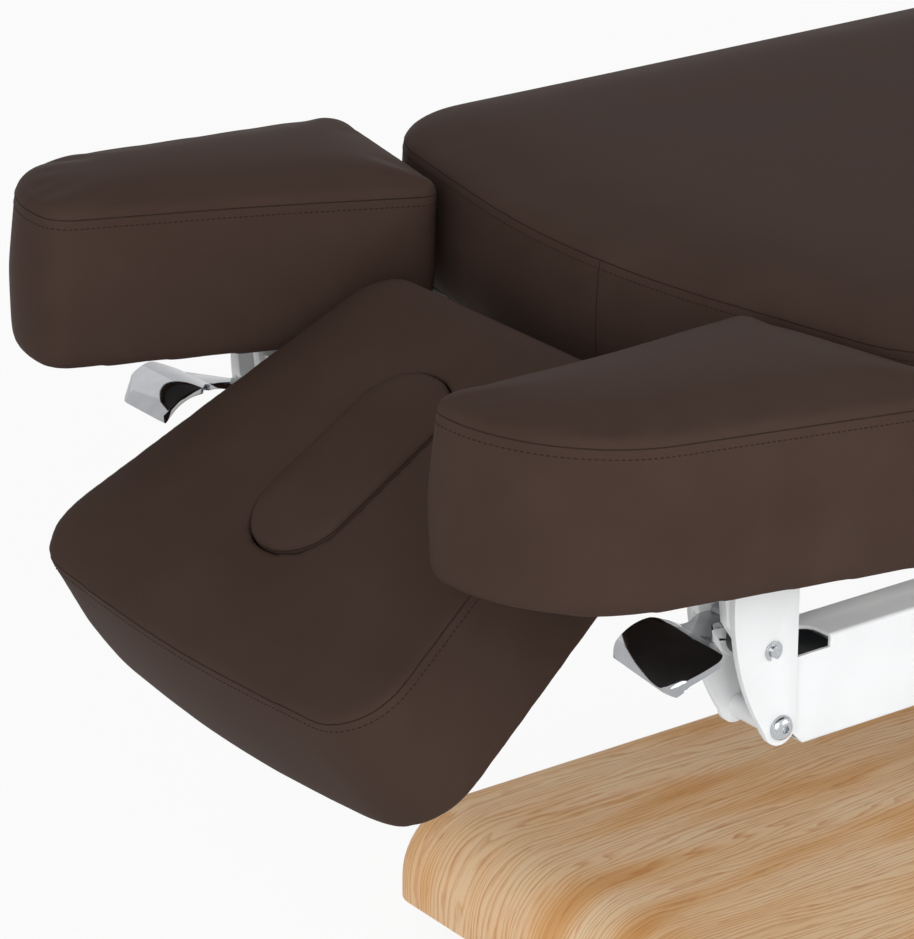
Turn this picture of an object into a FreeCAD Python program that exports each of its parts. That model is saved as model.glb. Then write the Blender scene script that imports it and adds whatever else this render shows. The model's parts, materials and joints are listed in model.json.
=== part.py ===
import FreeCAD, Part
import math
import os
import re

import Sketcher

# Electric massage table: upholstered mattress, tilting headrest with a face plug and two tilting
# armrests, on a white steel frame that two telescopic columns lift off an oak-covered base.
# Millimetres. +X runs from head to foot, +Y to the left of a person lying face up, +Z up.
# The origin is on the floor, under the middle of the table's box.

# Driving dimensions. Every name is an alias in the sheet.
DIMENSIONS = {
    # heights and ends of the upholstered top
    "deck_height": 655,
    "head_x": -603,
    "foot_x": 942.2,
    # upholstery shared by all pads
    "seam_drop": 11,
    "crown_rise": 16,
    "crown_power": 3.2,
    "pad_depth": 112,
    "pad_tuck": 3,
    "pad_low_roll": 2.5,
    "pad_under_roll": 8,
    "pad_roll_height": 6,
    "board_thick": 12,
    "board_inset": 14,
    "pad_gap": 0.3,
    # mattress outline
    "mattress_half": 323,
    "mattress_bow": 704,
    "mattress_spread": 11.5,
    "mattress_corner": 88,
    "mattress_foot_corner": 90,
    "mattress_crown_reach": 120,
    # headrest, in its own level frame with the hinge at the origin
    "headrest_tilt": 32,
    "headrest_hinge_dx": 6,
    "headrest_hinge_drop": 123.4,
    "headrest_back": 16,
    "headrest_length": 322.5,
    "headrest_back_half": 144,
    "headrest_end_half": 211.5,
    "headrest_back_corner": 45,
    "headrest_end_corner": 48,
    "headrest_end_bow": 11.7,
    "headrest_end_radius": 1500,
    "headrest_seam": 99.4,
    "headrest_depth": 113.5,
    "headrest_rise": 7,
    "headrest_crown_reach": 90,
    # face slot and plug
    "slot_centre": 167.5,
    "slot_half_length": 85.5,
    "slot_half_width": 44,
    "slot_corner": 42,
    "plug_gap": 1,
    "plug_depth": 56,
    "plug_rise": 6,
    "plug_crown_reach": 26,
    "plug_board_thick": 10,
    # armrest, in its own level frame over the front edge of the mattress
    "armrest_pitch": 4.5,
    "armrest_dx": 6.4,
    "armrest_drop": 4.4,
    "armrest_seam": 10,
    "armrest_depth": 116.4,
    "armrest_rise": 13.6,
    "armrest_tip": 286,
    "armrest_tip_inner": 219.5,
    "armrest_tip_outer": 345,
    "armrest_tip_corner": 112,
    "armrest_tip_inner_corner": 25,
    "armrest_back_outer": 369,
    "armrest_back_outer_dx": 62.7,
    "armrest_back_outer_corner": 26,
    "armrest_back_inner": 163,
    "armrest_back_inner_dx": 17,
    "armrest_back_inner_corner": 20,
    "armrest_waist_dx": 130,
    "armrest_waist": 196,
    "armrest_waist_radius": 1500,
    "armrest_crown_reach": 40,
    # side rails and the forks at their front ends
    "rail_inner": 250,
    "rail_width": 40,
    "rail_height": 74,
    "rail_wall": 2.5,
    "rail_round": 3,
    "rail_top": 461,
    "rail_front_x": -646.6,
    "rail_rear_x": 875,
    "rail_notch_length": 34,
    "rail_notch_width": 24,
    "rail_notch_round": 12,
    "rail_notch_depth": 9,
    "rail_corner_cut": 14,
    "cap_thick": 4,
    "cap_plug": 20,
    "pivot_x": -666,
    "pivot_z": 465,
    "pivot_pin_radius": 4,
    "running_gap": 0.05,
    "fit_gap": 0.2,
    "fork_thick": 5,
    "fork_top": 50,
    "fork_front": 33,
    "fork_tail": 80,
    "fork_tail_top": 8,
    "fork_bolt_dx": 8,
    "fork_bolt_drop": 57,
    "fork_end_radius": 13,
    "fork_edge_radius": 180,
    "fork_bolt_radius": 5,
    "bolt_head_radius": 8.75,
    "bolt_head_height": 5.5,
    "bolt_key": 3,
    "bolt_nut_radius": 9,
    "bolt_nut_height": 8,
    "spacer_radius": 8,
    "spacer_collar_radius": 11,
    "spacer_collar": 6,
    "pin_overhang": 3,
    "circlip_radius": 7,
    "circlip_thick": 1.2,
    "circlip_mouth": 5,
    # armrest yoke, brake block and release lever, from the fork pivot
    "yoke_eye_radius": 16,
    "yoke_front": 46,
    "yoke_rear": 28,
    "yoke_cheek": 8,
    "yoke_width": 38,
    "yoke_flange": 5,
    "yoke_waist": 36,
    "yoke_waist_rise": 22,
    "brake_disc_radius": 13,
    "brake_width": 16,
    "brake_tail": 62,
    "brake_block_x": 30,
    "brake_block_top": 14,
    "brake_block_drop": 36,
    "lever_pin_dx": 20,
    "lever_pin_rise": 19,
    "lever_pin_radius": 3,
    "lever_barrel_radius": 7,
    "lever_barrel_width": 20,
    "lever_thick": 4.5,
    "lever_crest_dx": 62,
    "lever_crest_rise": 6,
    "lever_bend": 36.2,
    "lever_neck_angle": 26,
    "lever_tip_angle": 59,
    "lever_neck_dx": 22,
    "lever_shoe_length": 13.6,
    "lever_shoe_width": 12,
    "lever_shoe_thick": 6,
    "paddle_centre": 293.5,
    "paddle_half": 28.5,
    "paddle_corner": 8,
    "neck_half": 10,
    "neck_bend": 14,
    # headrest hinge
    "shaft_radius": 6,
    "shaft_half": 126,
    "lug_inner": 115,
    "lug_thick": 8,
    "lug_radius": 10.5,
    "lug_tail": 34,
    "lug_drop": 18.6,
    "disc_thick": 4,
    "arm_thick": 6,
    "arm_outer": 110,
    "arm_length": 226,
    "arm_height": 20,
    "arm_top": 14.2,
    "arm_flange": 26,
    "arm_flange_start": 34,
    "arm_flange_thick": 4,
    "bush_radius": 8,
    # deck frame between board and rails
    "deck_tube": 30,
    "deck_tube_inner": 255,
    "deck_tube_wall": 2,
    "deck_front_dx": 40,
    "deck_rear_x": 862,
    "riser_length": 44,
    "riser_width": 24,
    "riser_first_x": -420,
    "riser_pitch": 395,
    # lifting columns
    "column_front_x": -85,
    "column_rear_x": 535,
    "column_length": 100,
    "column_width": 160,
    "column_wall": 4,
    "column_step": 7,
    "column_round": 6,
    "glide_height": 12,
    "glide_gap": 0.3,
    "base_plate_z": 50,
    "base_plate_thick": 8,
    "base_plate_half": 90,
    "outer_top": 290,
    "mid_bottom": 108,
    "mid_top": 334,
    "bulkhead_z": 112,
    "bulkhead_thick": 10,
    "inner_bottom": 168,
    "top_plate_thick": 8,
    "top_plate_half_x": 80,
    "top_plate_half_y": 110,
    "beam_length": 60,
    "beam_height": 40,
    "screw_radius": 10,
    "screw_top": 260,
    "nut_radius": 20,
    "nut_height": 28,
    "screw_gap": 0.3,
    # drive units under the base plates
    "gearbox_half": 45,
    "gearbox_reach": 98,
    "gearbox_height": 30,
    "motor_radius": 25,
    "motor_length": 100,
    "motor_z": 48,
    # control box
    "control_x": 150,
    "control_length": 200,
    "control_half": 75,
    "control_height": 55,
    "control_round": 8,
    "tray_thick": 3,
    "tray_margin": 12,
    "inlet_half": 14,
    "inlet_height": 22,
    "inlet_depth": 6,
    "inlet_wall": 2,
    "socket_half": 9,
    "socket_bore": 6.5,
    # base
    "cover_front_x": -567,
    "cover_rear_x": 872,
    "cover_half": 281,
    "cover_top": 95,
    "cover_bottom": 20,
    "cover_thick": 14,
    "cover_bend": 58,
    "cover_edge": 25,
    "cover_column_gap": 4,
    "base_tube_width": 50,
    "base_tube_height": 30,
    "base_tube_wall": 3,
    "base_tube_inner": 175,
    "base_tube_front_x": -480,
    "base_tube_rear_x": 790,
    "support_length": 60,
    "support_inset": 100,
    "foot_inset": 45,
    "foot_radius": 24,
    "foot_pad_height": 10,
    "foot_nut_radius": 11,
}

X_AXIS = FreeCAD.Vector(1, 0, 0)
Y_AXIS = FreeCAD.Vector(0, 1, 0)
Z_AXIS = FreeCAD.Vector(0, 0, 1)
SIDES = {"left": 1, "right": -1}
LEVEL = FreeCAD.Rotation()
ALONG = {
    "x": FreeCAD.Rotation(Y_AXIS, 90),
    "y": FreeCAD.Rotation(X_AXIS, -90),
    "z": LEVEL,
}
COLUMNS = {"front": "column_front_x", "rear": "column_rear_x"}
WORD = re.compile(r"[a-z]\w*")
LEAST_CORNER = 4
EDGE_SIZE = {"Fillet": "Radius", "Chamfer": "Size"}

doc = FreeCAD.newDocument("massage_table")
sheet = doc.addObject("Spreadsheet::Sheet", "dims")
pieces = []


# Sheet and expressions

def fill_sheet():
    for row, (alias, value) in enumerate(DIMENSIONS.items(), start=1):
        sheet.set(f"A{row}", alias)
        sheet.set(f"B{row}", str(value))
        sheet.setAlias(f"B{row}", alias)
    doc.recompute()


def bound(text):
    """The expression with every dimension's name led to its cell."""
    return WORD.sub(lambda word: f"dims.{word.group()}" if word.group() in DIMENSIONS else word.group(), text)


def number(text):
    """The expression's value now."""
    return float(sheet.evalExpression(bound(text)))


def drive(thing, **sizes):
    for prop, text in sizes.items():
        thing.setExpression(prop, bound(text))


def place(thing, x="0", y="0", z="0", turn=LEVEL):
    thing.Placement = FreeCAD.Placement(FreeCAD.Vector(), turn)
    for axis, text in zip("xyz", (x, y, z)):
        thing.setExpression(f"Placement.Base.{axis}", bound(text))


def keep(thing, label):
    """Marks a finished sub-part: its label names its file."""
    thing.Label = label
    pieces.append(thing)


def mirror(source):
    """The same part on the other side of the table."""
    twin = doc.addObject("Part::Mirroring", f"{source.Name}_mirrored")
    twin.Source = source
    twin.Normal = Y_AXIS
    return twin


def keep_pair(source, label):
    """Keeps a left part and its mirror image as two sub-parts."""
    keep(source, f"{label}_left")
    keep(mirror(source), f"{label}_right")


def keep_both(source, label):
    """Keeps a left part and its mirror image as the solids of one sub-part."""
    keep(group(f"{source.Name}_both", source, mirror(source)), label)


# Primitives and booleans

def block(name, corner, lengths, turn=LEVEL):
    box = doc.addObject("Part::Box", name)
    drive(box, Length=lengths[0], Width=lengths[1], Height=lengths[2])
    place(box, *corner, turn=turn)
    return box


def rod(name, start, axis, radius, length):
    cylinder = doc.addObject("Part::Cylinder", name)
    drive(cylinder, Radius=radius, Height=length)
    place(cylinder, *start, turn=ALONG[axis])
    return cylinder


def hexagon(name, start, axis, radius, length):
    """A hexagonal bar."""
    bar = doc.addObject("Part::Prism", name)
    bar.Polygon = 6
    drive(bar, Circumradius=radius, Height=length)
    place(bar, *start, turn=ALONG[axis])
    return bar


def cut(name, base, *tools):
    result = doc.addObject("Part::Cut", name)
    result.Base = base
    result.Tool = tools[0] if len(tools) == 1 else fuse(f"{name}_tools", *tools)
    return result


def fuse(name, *parts):
    result = doc.addObject("Part::MultiFuse", name)
    result.Shapes = list(parts)
    return result


def group(name, *parts):
    result = doc.addObject("Part::Compound", name)
    result.Links = list(parts)
    return result


# Bodies and sketches

def new_body(name):
    return doc.addObject("PartDesign::Body", name)


def new_sketch(body, plane):
    sketch = body.newObject("Sketcher::SketchObject", f"{body.Name}_sketch")
    support = next(item for item in body.Origin.OriginFeatures if item.Role == plane)
    sketch.AttachmentSupport = (support, [""])
    sketch.MapMode = "FlatFace"
    return sketch


def pin_point(sketch, curve, end, x, y):
    """Holds a curve's end, or a circle's centre, at two expressions. A plain zero puts it on that axis."""
    for kind, text, axis in (("DistanceX", x, -2), ("DistanceY", y, -1)):
        if text == "0":
            sketch.addConstraint(Sketcher.Constraint("PointOnObject", curve, end, axis))
            continue
        row = sketch.addConstraint(Sketcher.Constraint(kind, -1, 1, curve, end, number(text)))
        sketch.setExpression(f"Constraints[{row}]", bound(text))


def pin_radius(sketch, curve, radius):
    row = sketch.addConstraint(Sketcher.Constraint("Radius", curve, abs(number(radius))))
    sketch.setExpression(f"Constraints[{row}]", bound(radius))


def arc_between(start, end, radius, clockwise):
    """The shorter arc of that radius from start to end."""
    chord = end - start
    side = FreeCAD.Vector(chord.y, -chord.x, 0) if clockwise else FreeCAD.Vector(-chord.y, chord.x, 0)
    side.normalize()
    reach = math.sqrt(max(radius ** 2 - (chord.Length / 2) ** 2, 0))
    centre = start + chord * 0.5 + side * reach
    first, last = (end, start) if clockwise else (start, end)
    angles = [math.atan2(point.y - centre.y, point.x - centre.x) for point in (first, last)]
    return Part.ArcOfCircle(Part.Circle(centre, Z_AXIS, radius), *angles)


def outline(sketch, *steps):
    """A closed outline. A step is the point to go to, with a radius for an arc and "cw" to turn clockwise."""
    points = [FreeCAD.Vector(number(step[0]), number(step[1]), 0) for step in steps]
    ends = []
    for index, step in enumerate(steps):
        start = points[index - 1]
        clockwise = step[-1] == "cw"
        if len(step) == 2:
            curve = Part.LineSegment(start, points[index])
        else:
            curve = arc_between(start, points[index], number(step[2]), clockwise)
        row = sketch.addGeometry(curve)
        ends.append((row, 2, 1) if clockwise else (row, 1, 2))
        if len(step) > 2:
            pin_radius(sketch, row, step[2])
    for index, step in enumerate(steps):
        row, _, last = ends[index]
        following, first, _ = ends[(index + 1) % len(steps)]
        sketch.addConstraint(Sketcher.Constraint("Coincident", row, last, following, first))
        pin_point(sketch, row, last, step[0], step[1])


def rectangle(sketch, left, bottom, right, top):
    outline(sketch, (left, bottom), (right, bottom), (right, top), (left, top))


def circle(sketch, x, y, radius):
    row = sketch.addGeometry(Part.Circle(FreeCAD.Vector(number(x), number(y), 0), Z_AXIS, number(radius)))
    pin_point(sketch, row, 3, x, y)
    pin_radius(sketch, row, radius)


def pad(body, sketch, length, both=False):
    added = body.newObject("PartDesign::Pad", f"{body.Name}_pad")
    added.Profile = sketch
    added.Midplane = both
    drive(added, Length=length)
    doc.recompute()


def pocket(body, sketch, length):
    """Cuts to both sides of the sketch, half the length each way."""
    before = body.Shape.Volume
    removed = body.newObject("PartDesign::Pocket", f"{body.Name}_pocket")
    removed.Profile = sketch
    removed.Midplane = True
    drive(removed, Length=length)
    doc.recompute()
    if body.Shape.Volume >= before:
        raise RuntimeError(f"{body.Name}: a pocket cut nothing")


def revolve(body, sketch):
    turned = body.newObject("PartDesign::Revolution", f"{body.Name}_turned")
    turned.Profile = sketch
    turned.ReferenceAxis = (sketch, ["V_Axis"])
    turned.Angle = 360
    doc.recompute()


def soften(body, size, wanted, kind="Fillet"):
    """Rounds or chamfers the edges whose middle passes the test."""
    base = body.Tip
    names = []
    for row, edge in enumerate(base.Shape.Edges, start=1):
        middle = edge.valueAt((edge.FirstParameter + edge.LastParameter) / 2)
        if wanted(edge, middle):
            names.append(f"Edge{row}")
    eased = body.newObject(f"PartDesign::{kind}", f"{body.Name}_{kind.lower()}")
    eased.Base = (base, names)
    drive(eased, **{EDGE_SIZE[kind]: size})
    doc.recompute()


def runs_along(edge, axis):
    return abs(edge.tangentAt(edge.FirstParameter).dot(axis)) > 0.999


def tube(name, plane, width, height, wall, length, edge_size, both=False, kind="Chamfer"):
    """A rectangular tube, centred on its section, from its body's origin plane or to both sides of it."""
    body = new_body(name)
    section = new_sketch(body, plane)
    rectangle(section, f"-{width} / 2", f"-{height} / 2", f"{width} / 2", f"{height} / 2")
    rectangle(section, f"-{width} / 2 + {wall}", f"-{height} / 2 + {wall}",
              f"{width} / 2 - {wall}", f"{height} / 2 - {wall}")
    pad(body, section, length, both)
    axis = X_AXIS if plane == "YZ_Plane" else Y_AXIS if plane == "XZ_Plane" else Z_AXIS
    corner = math.hypot(number(width) / 2, number(height) / 2)

    def outer_corner(edge, middle):
        across = middle - axis * middle.dot(axis)
        return runs_along(edge, axis) and abs(across.Length - corner) < 0.01

    soften(body, edge_size, outer_corner, kind)
    return body


# Upholstery: rounded outlines stacked into lofts

def rounded_wire(corners, inset, height):
    """A counter-clockwise polygon with rounded corners (x, y, radius), drawn in by the inset."""
    points = [FreeCAD.Vector(x, y, height) for x, y, _ in corners]
    count = len(points)
    runs = [(points[(row + 1) % count] - points[row]).normalize() for row in range(count)]
    turns = [math.atan2(runs[row - 1].cross(runs[row]).z, runs[row - 1].dot(runs[row]))
             for row in range(count)]
    inward = [(runs[row] - runs[row - 1]).normalize() * math.copysign(1, turns[row]) for row in range(count)]
    vertices = [points[row] + inward[row] * (inset / math.cos(turns[row] / 2)) for row in range(count)]
    slopes = [math.tan(abs(turn) / 2) for turn in turns]
    bends = [max(radius - math.copysign(inset, turn), LEAST_CORNER)
             for (_, _, radius), turn in zip(corners, turns)]
    for row in range(count):
        last = row - 1
        room = 0.98 * (vertices[row] - vertices[last]).Length
        needed = bends[row] * slopes[row] + bends[last] * slopes[last]
        if needed > room:
            bends[row] *= room / needed
            bends[last] *= room / needed
    edges = []
    ends = []
    for row in range(count):
        first = vertices[row] - runs[row - 1] * (bends[row] * slopes[row])
        final = vertices[row] + runs[row] * (bends[row] * slopes[row])
        depth = bends[row] / math.cos(turns[row] / 2) - bends[row]
        middle = vertices[row] + inward[row] * math.copysign(depth, turns[row])
        edges.append(Part.Arc(first, middle, final).toShape())
        ends.append((first, final))
    for row in range(count):
        edges.insert(2 * row + 1, Part.makeLine(ends[row][1], ends[(row + 1) % count][0]))
    return Part.Wire(edges)


def mirrored(corners):
    return [(x, -y, radius) for x, y, radius in reversed(corners)]


def prism(corners, inset, bottom, depth):
    return Part.Face(rounded_wire(corners, inset, bottom)).extrude(Z_AXIS * depth)


def crown(seam, rise, inset, reach, steps):
    """Levels (height, inset) of a top panel: steep at its seam, nearly flat in the middle."""
    power = 2 / number("crown_power")
    levels = []
    for step in range(1, steps + 1):
        wave = math.radians(90) * step / steps
        shrink = abs(math.cos(wave)) ** power if step < steps else 0
        levels.append((seam + rise * math.sin(wave) ** power, inset + reach * (1 - shrink)))
    return levels


def cushion(corners, seam, depth, rise, reach):
    """Border that draws in to its seam and base, under a crowned top panel."""
    tuck = number("pad_tuck")
    levels = [
        (seam - depth, number("pad_under_roll")),
        (seam - depth + number("pad_roll_height"), number("pad_low_roll")),
        (seam - depth / 2, 0),
        (seam, tuck),
        *crown(seam, rise, tuck, reach, 4),
    ]
    return Part.makeLoft([rounded_wire(corners, inset, height) for height, inset in levels], True, True)


def upholstered(label, corners, seam, depth, rise, reach, frame, opening=None):
    """A cushion with a recess in its underside, and the board that fills the recess."""
    inset, thick = number("board_inset"), number("board_thick")
    base = seam - depth
    soft = cushion(corners, seam, depth, rise, reach)
    soft = soft.cut(prism(corners, inset, base - 1, thick + 1))
    board = prism(corners, inset + number("pad_gap"), base, thick)
    if opening:
        hole = prism(opening, 0, base - 1, depth + rise + 2)
        soft, board = soft.cut(hole), board.cut(hole)
    feature(f"{label}_cushion", soft, frame)
    feature(f"{label}_board", board, frame)


def feature(label, shape, frame=FreeCAD.Placement()):
    thing = doc.addObject("Part::Feature", label)
    thing.Shape = shape.Solids[0] if len(shape.Solids) == 1 else shape
    thing.Placement = frame
    keep(thing, label)


def frame_at(x, y, z, turn_y=0):
    return FreeCAD.Placement(FreeCAD.Vector(x, y, z), FreeCAD.Rotation(Y_AXIS, turn_y))


def headrest_frame():
    return frame_at(number("head_x + headrest_hinge_dx"), 0, number("deck_height - headrest_hinge_drop"),
                    -number("headrest_tilt"))


def armrest_frame():
    return frame_at(number("head_x - armrest_dx"), 0, number("deck_height - armrest_drop"),
                    number("armrest_pitch"))


def mattress():
    half, bow = number("mattress_half"), number("mattress_bow")
    spread = math.radians(number("mattress_spread"))
    apex = number("head_x") + bow - bow / math.cos(spread)
    shoulder = apex + half * math.tan(spread)
    corner, foot_corner = number("mattress_corner"), number("mattress_foot_corner")
    foot = number("foot_x")
    corners = [(apex, 0, bow), (shoulder, -half, corner), (foot, -half, foot_corner),
               (foot, half, foot_corner), (shoulder, half, corner)]
    upholstered("mattress", corners, number("deck_height - seam_drop"), number("pad_depth - seam_drop"),
                number("crown_rise"), number("mattress_crown_reach"), FreeCAD.Placement())


def slot_corners():
    centre, half_length = -number("slot_centre"), number("slot_half_length")
    half_width, corner = number("slot_half_width"), number("slot_corner")
    return [(centre + along * half_length, across * half_width, corner)
            for along, across in ((1, -1), (1, 1), (-1, 1), (-1, -1))]


def headrest():
    back = -number("headrest_back")
    end = back - number("headrest_length")
    back_half, end_half = number("headrest_back_half"), number("headrest_end_half")
    back_corner, end_corner = number("headrest_back_corner"), number("headrest_end_corner")
    bowed = (end - number("headrest_end_bow"), 0, number("headrest_end_radius"))
    corners = [(back, -back_half, back_corner), (back, back_half, back_corner),
               (end, end_half, end_corner), bowed, (end, -end_half, end_corner)]
    upholstered("headrest", corners, number("headrest_seam"), number("headrest_depth"),
                number("headrest_rise"), number("headrest_crown_reach"), headrest_frame(), slot_corners())


def face_plug():
    gap, depth = number("plug_gap"), number("plug_depth")
    seam = number("headrest_seam + headrest_rise")
    thick = number("plug_board_thick")
    plain = slot_corners()
    levels = [(seam - depth, gap), (seam - depth / 2, gap), (seam, gap)]
    levels += crown(seam, number("plug_rise"), gap, number("plug_crown_reach"), 3)
    soft = Part.makeLoft([rounded_wire(plain, inset, height) for height, inset in levels], True, True)
    feature("face_plug_cushion", soft, headrest_frame())
    feature("face_plug_board", prism(plain, gap + 1, seam - depth - thick, thick), headrest_frame())


def armrest(side, sign):
    tip = -number("armrest_tip")
    corners = [
        (number("armrest_back_inner_dx"), number("armrest_back_inner"), number("armrest_back_inner_corner")),
        (number("armrest_back_outer_dx"), number("armrest_back_outer"), number("armrest_back_outer_corner")),
        (tip, number("armrest_tip_outer"), number("armrest_tip_corner")),
        (tip, number("armrest_tip_inner"), number("armrest_tip_inner_corner")),
        (-number("armrest_waist_dx"), number("armrest_waist"), number("armrest_waist_radius")),
    ]
    if sign < 0:
        corners = mirrored(corners)
    upholstered(f"armrest_{side}", corners, -number("armrest_seam"), number("armrest_depth - armrest_seam"),
                number("armrest_rise"), number("armrest_crown_reach"), armrest_frame())


# Side rails and the forks at their front ends. Only the left side is drawn; the right is its mirror image.

RAIL_MIDDLE = "rail_inner + rail_width / 2"


def side_rails():
    """Tubes with a round-ended notch in the front top outer corner and a cut front lower corner."""
    body = tube("rail", "YZ_Plane", "rail_width", "rail_height", "rail_wall",
                "rail_rear_x - rail_front_x", "rail_round", kind="Fillet")
    place(body, "rail_front_x", RAIL_MIDDLE, "rail_top - rail_height / 2")
    floor = "rail_top - rail_notch_depth"
    outer = "rail_inner + rail_width"
    straight = "rail_notch_length - rail_notch_round"
    bend_y = f"{outer} - rail_notch_width + rail_notch_round"
    channel = block("notch_run", ("rail_front_x - 1", f"{outer} - rail_notch_width", floor),
                    (f"{straight} + 1", "rail_notch_width + 1", "rail_notch_depth + 1"))
    end = rod("notch_end", (f"rail_front_x + {straight}", bend_y, floor), "z", "rail_notch_round",
              "rail_notch_depth + 1")
    flank = block("notch_flank", (f"rail_front_x + {straight} - 1", bend_y, floor),
                  ("rail_notch_round + 1", "rail_notch_width - rail_notch_round + 1", "rail_notch_depth + 1"))
    side = "2 * rail_corner_cut"
    corner = block("corner_cut",
                   (f"rail_front_x + rail_corner_cut / 2 - 0.75 * sqrt(2) * {side}", "rail_inner - 1",
                    f"rail_top - rail_height + rail_corner_cut / 2 - 0.25 * sqrt(2) * {side}"),
                   (side, "rail_width + 2", side), turn=FreeCAD.Rotation(Y_AXIS, 45))
    keep_pair(cut("notched_rail", body, channel, end, flank, corner), "side_rail")


def rail_end_caps():
    face = block("cap_face", ("rail_rear_x", "rail_inner", "rail_top - rail_height"),
                 ("cap_thick", "rail_width", "rail_height"))
    stem = block("cap_stem",
                 ("rail_rear_x - cap_plug", "rail_inner + rail_wall + fit_gap",
                  "rail_top - rail_height + rail_wall + fit_gap"),
                 ("cap_plug", "rail_width - 2 * (rail_wall + fit_gap)",
                  "rail_height - 2 * (rail_wall + fit_gap)"))
    keep_both(fuse("cap", face, stem), "rail_end_caps")


def fork_plates():
    """Plates with a bowed front edge and a round lower end; the inner ones have a tail along the rail."""
    rear = "fork_bolt_dx + fork_end_radius"
    tail = [(rear, "-fork_tail_top"), ("fork_tail", "-fork_tail_top"), ("fork_tail", "-fork_bolt_drop")]
    places = {
        "outer": ("rail_inner + rail_width + fork_thick / 2", []),
        "inner": ("rail_inner - fork_thick / 2", tail),
    }
    for kind, (offset, extra) in places.items():
        body = new_body(f"fork_{kind}")
        sketch = new_sketch(body, "XZ_Plane")
        outline(
            sketch,
            (rear, "fork_top"),
            *extra,
            (rear, "-fork_bolt_drop"),
            ("fork_bolt_dx", "-fork_bolt_drop - fork_end_radius", "fork_end_radius", "cw"),
            ("fork_bolt_dx - fork_end_radius * cos(10)", "-fork_bolt_drop - fork_end_radius * sin(10)",
             "fork_end_radius", "cw"),
            ("-fork_front", "fork_top", "fork_edge_radius", "cw"),
        )
        circle(sketch, "0", "0", "pivot_pin_radius + running_gap")
        circle(sketch, "fork_bolt_dx", "-fork_bolt_drop", "fork_bolt_radius + fit_gap")
        pad(body, sketch, "fork_thick", both=True)
        place(body, "pivot_x", offset, "pivot_z")
        keep_pair(body, f"fork_plate_{kind}")


def fork_fasteners():
    """Spacer tube, button-head bolt and nut at the fork's lower end."""
    x = "pivot_x + fork_bolt_dx"
    z = "pivot_z - fork_bolt_drop"
    sleeve = rod("spacer_sleeve", (x, "rail_inner", z), "y", "spacer_radius", "rail_width")
    collar = rod("spacer_collar_ring", (x, "rail_inner + rail_width - spacer_collar", z), "y",
                 "spacer_collar_radius", "spacer_collar")
    bore = rod("spacer_bore", (x, "rail_inner - 1", z), "y", "fork_bolt_radius + fit_gap", "rail_width + 2")
    keep_both(cut("spacer", fuse("spacer_solid", sleeve, collar), bore), "fork_spacers")

    head_y = "rail_inner + rail_width + fork_thick"
    screw = new_body("bolt")
    profile = new_sketch(screw, "XZ_Plane")
    shank = "-(rail_width + 2 * fork_thick + bolt_nut_height)"
    outline(
        profile,
        ("0", shank),
        ("fork_bolt_radius", shank),
        ("fork_bolt_radius", "0"),
        ("bolt_head_radius", "0"),
        ("bolt_head_radius", "bolt_head_height * 0.3"),
        ("bolt_head_radius * 0.5", "bolt_head_height", "bolt_head_radius * 0.72"),
        ("0", "bolt_head_height"),
    )
    revolve(screw, profile)
    place(screw, x, head_y, z, turn=ALONG["y"])
    key = hexagon("bolt_key_hole", (x, f"{head_y} + bolt_head_height - bolt_key", z), "y", "bolt_key",
                  "bolt_key + 1")
    keep_both(cut("keyed_bolt", screw, key), "fork_bolts")

    nut_y = "rail_inner - fork_thick - bolt_nut_height"
    nut = hexagon("nut", (x, nut_y, z), "y", "bolt_nut_radius", "bolt_nut_height")
    thread = rod("nut_bore", (x, f"{nut_y} - 1", z), "y", "fork_bolt_radius + running_gap",
                 "bolt_nut_height + 2")
    keep_both(cut("bored_nut", nut, thread), "fork_nuts")


def pivot_pins():
    """The armrest's pivot pin across the fork, with a circlip at each end."""
    inner = "rail_inner - fork_thick"
    outer = "rail_inner + rail_width + fork_thick"
    pin = rod("pivot_pin", ("pivot_x", f"{inner} - pin_overhang", "pivot_z"), "y", "pivot_pin_radius",
              f"{outer} - ({inner}) + 2 * pin_overhang")
    keep_both(pin, "armrest_pivot_pins")
    clips = []
    for name, start in (("inner", f"{inner} - circlip_thick"), ("outer", outer)):
        ring = rod(f"clip_{name}", ("pivot_x", start, "pivot_z"), "y", "circlip_radius", "circlip_thick")
        bore = rod(f"clip_bore_{name}", ("pivot_x", f"{start} - 1", "pivot_z"), "y", "pivot_pin_radius",
                   "circlip_thick + 2")
        mouth = block(f"clip_mouth_{name}",
                      ("pivot_x - circlip_mouth / 2", f"{start} - 1", "pivot_z - circlip_radius - 1"),
                      ("circlip_mouth", "circlip_thick + 2", "circlip_radius + 1"))
        clips.append(cut(f"circlip_{name}", ring, bore, mouth))
    keep_both(group("circlips", *clips), "pivot_circlips")


def brake_blocks():
    """Brake disc round the pivot pin, on a block that sits in the hollow of the rail."""
    body = new_body("brake")
    sketch = new_sketch(body, "XZ_Plane")
    radius = "brake_disc_radius"
    outline(
        sketch,
        ("0", radius, radius),
        (f"-{radius}", "0", radius),
        ("0", f"-{radius}", radius),
        ("brake_block_x / 2", "-brake_block_drop"),
        ("brake_tail", "-brake_block_drop"),
        ("brake_tail", "-brake_block_top"),
        ("brake_block_x / 2", "-brake_block_top"),
        (radius, "0"),
    )
    circle(sketch, "0", "0", "pivot_pin_radius + running_gap")
    pad(body, sketch, "brake_width", both=True)
    wide = new_sketch(body, "XZ_Plane")
    rectangle(wide, "brake_block_x", "-brake_block_drop", "brake_tail", "-brake_block_top")
    pad(body, wide, "rail_width - 2 * (rail_wall + fit_gap)", both=True)
    place(body, "pivot_x", RAIL_MIDDLE, "pivot_z")
    keep_both(body, "brake_blocks")


# Armrest yokes and release levers

YOKE_RISE = ("(head_x - armrest_dx - pivot_x) * sin(armrest_pitch)"
             " + (deck_height - armrest_drop - pivot_z) * cos(armrest_pitch) - armrest_depth")


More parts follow.
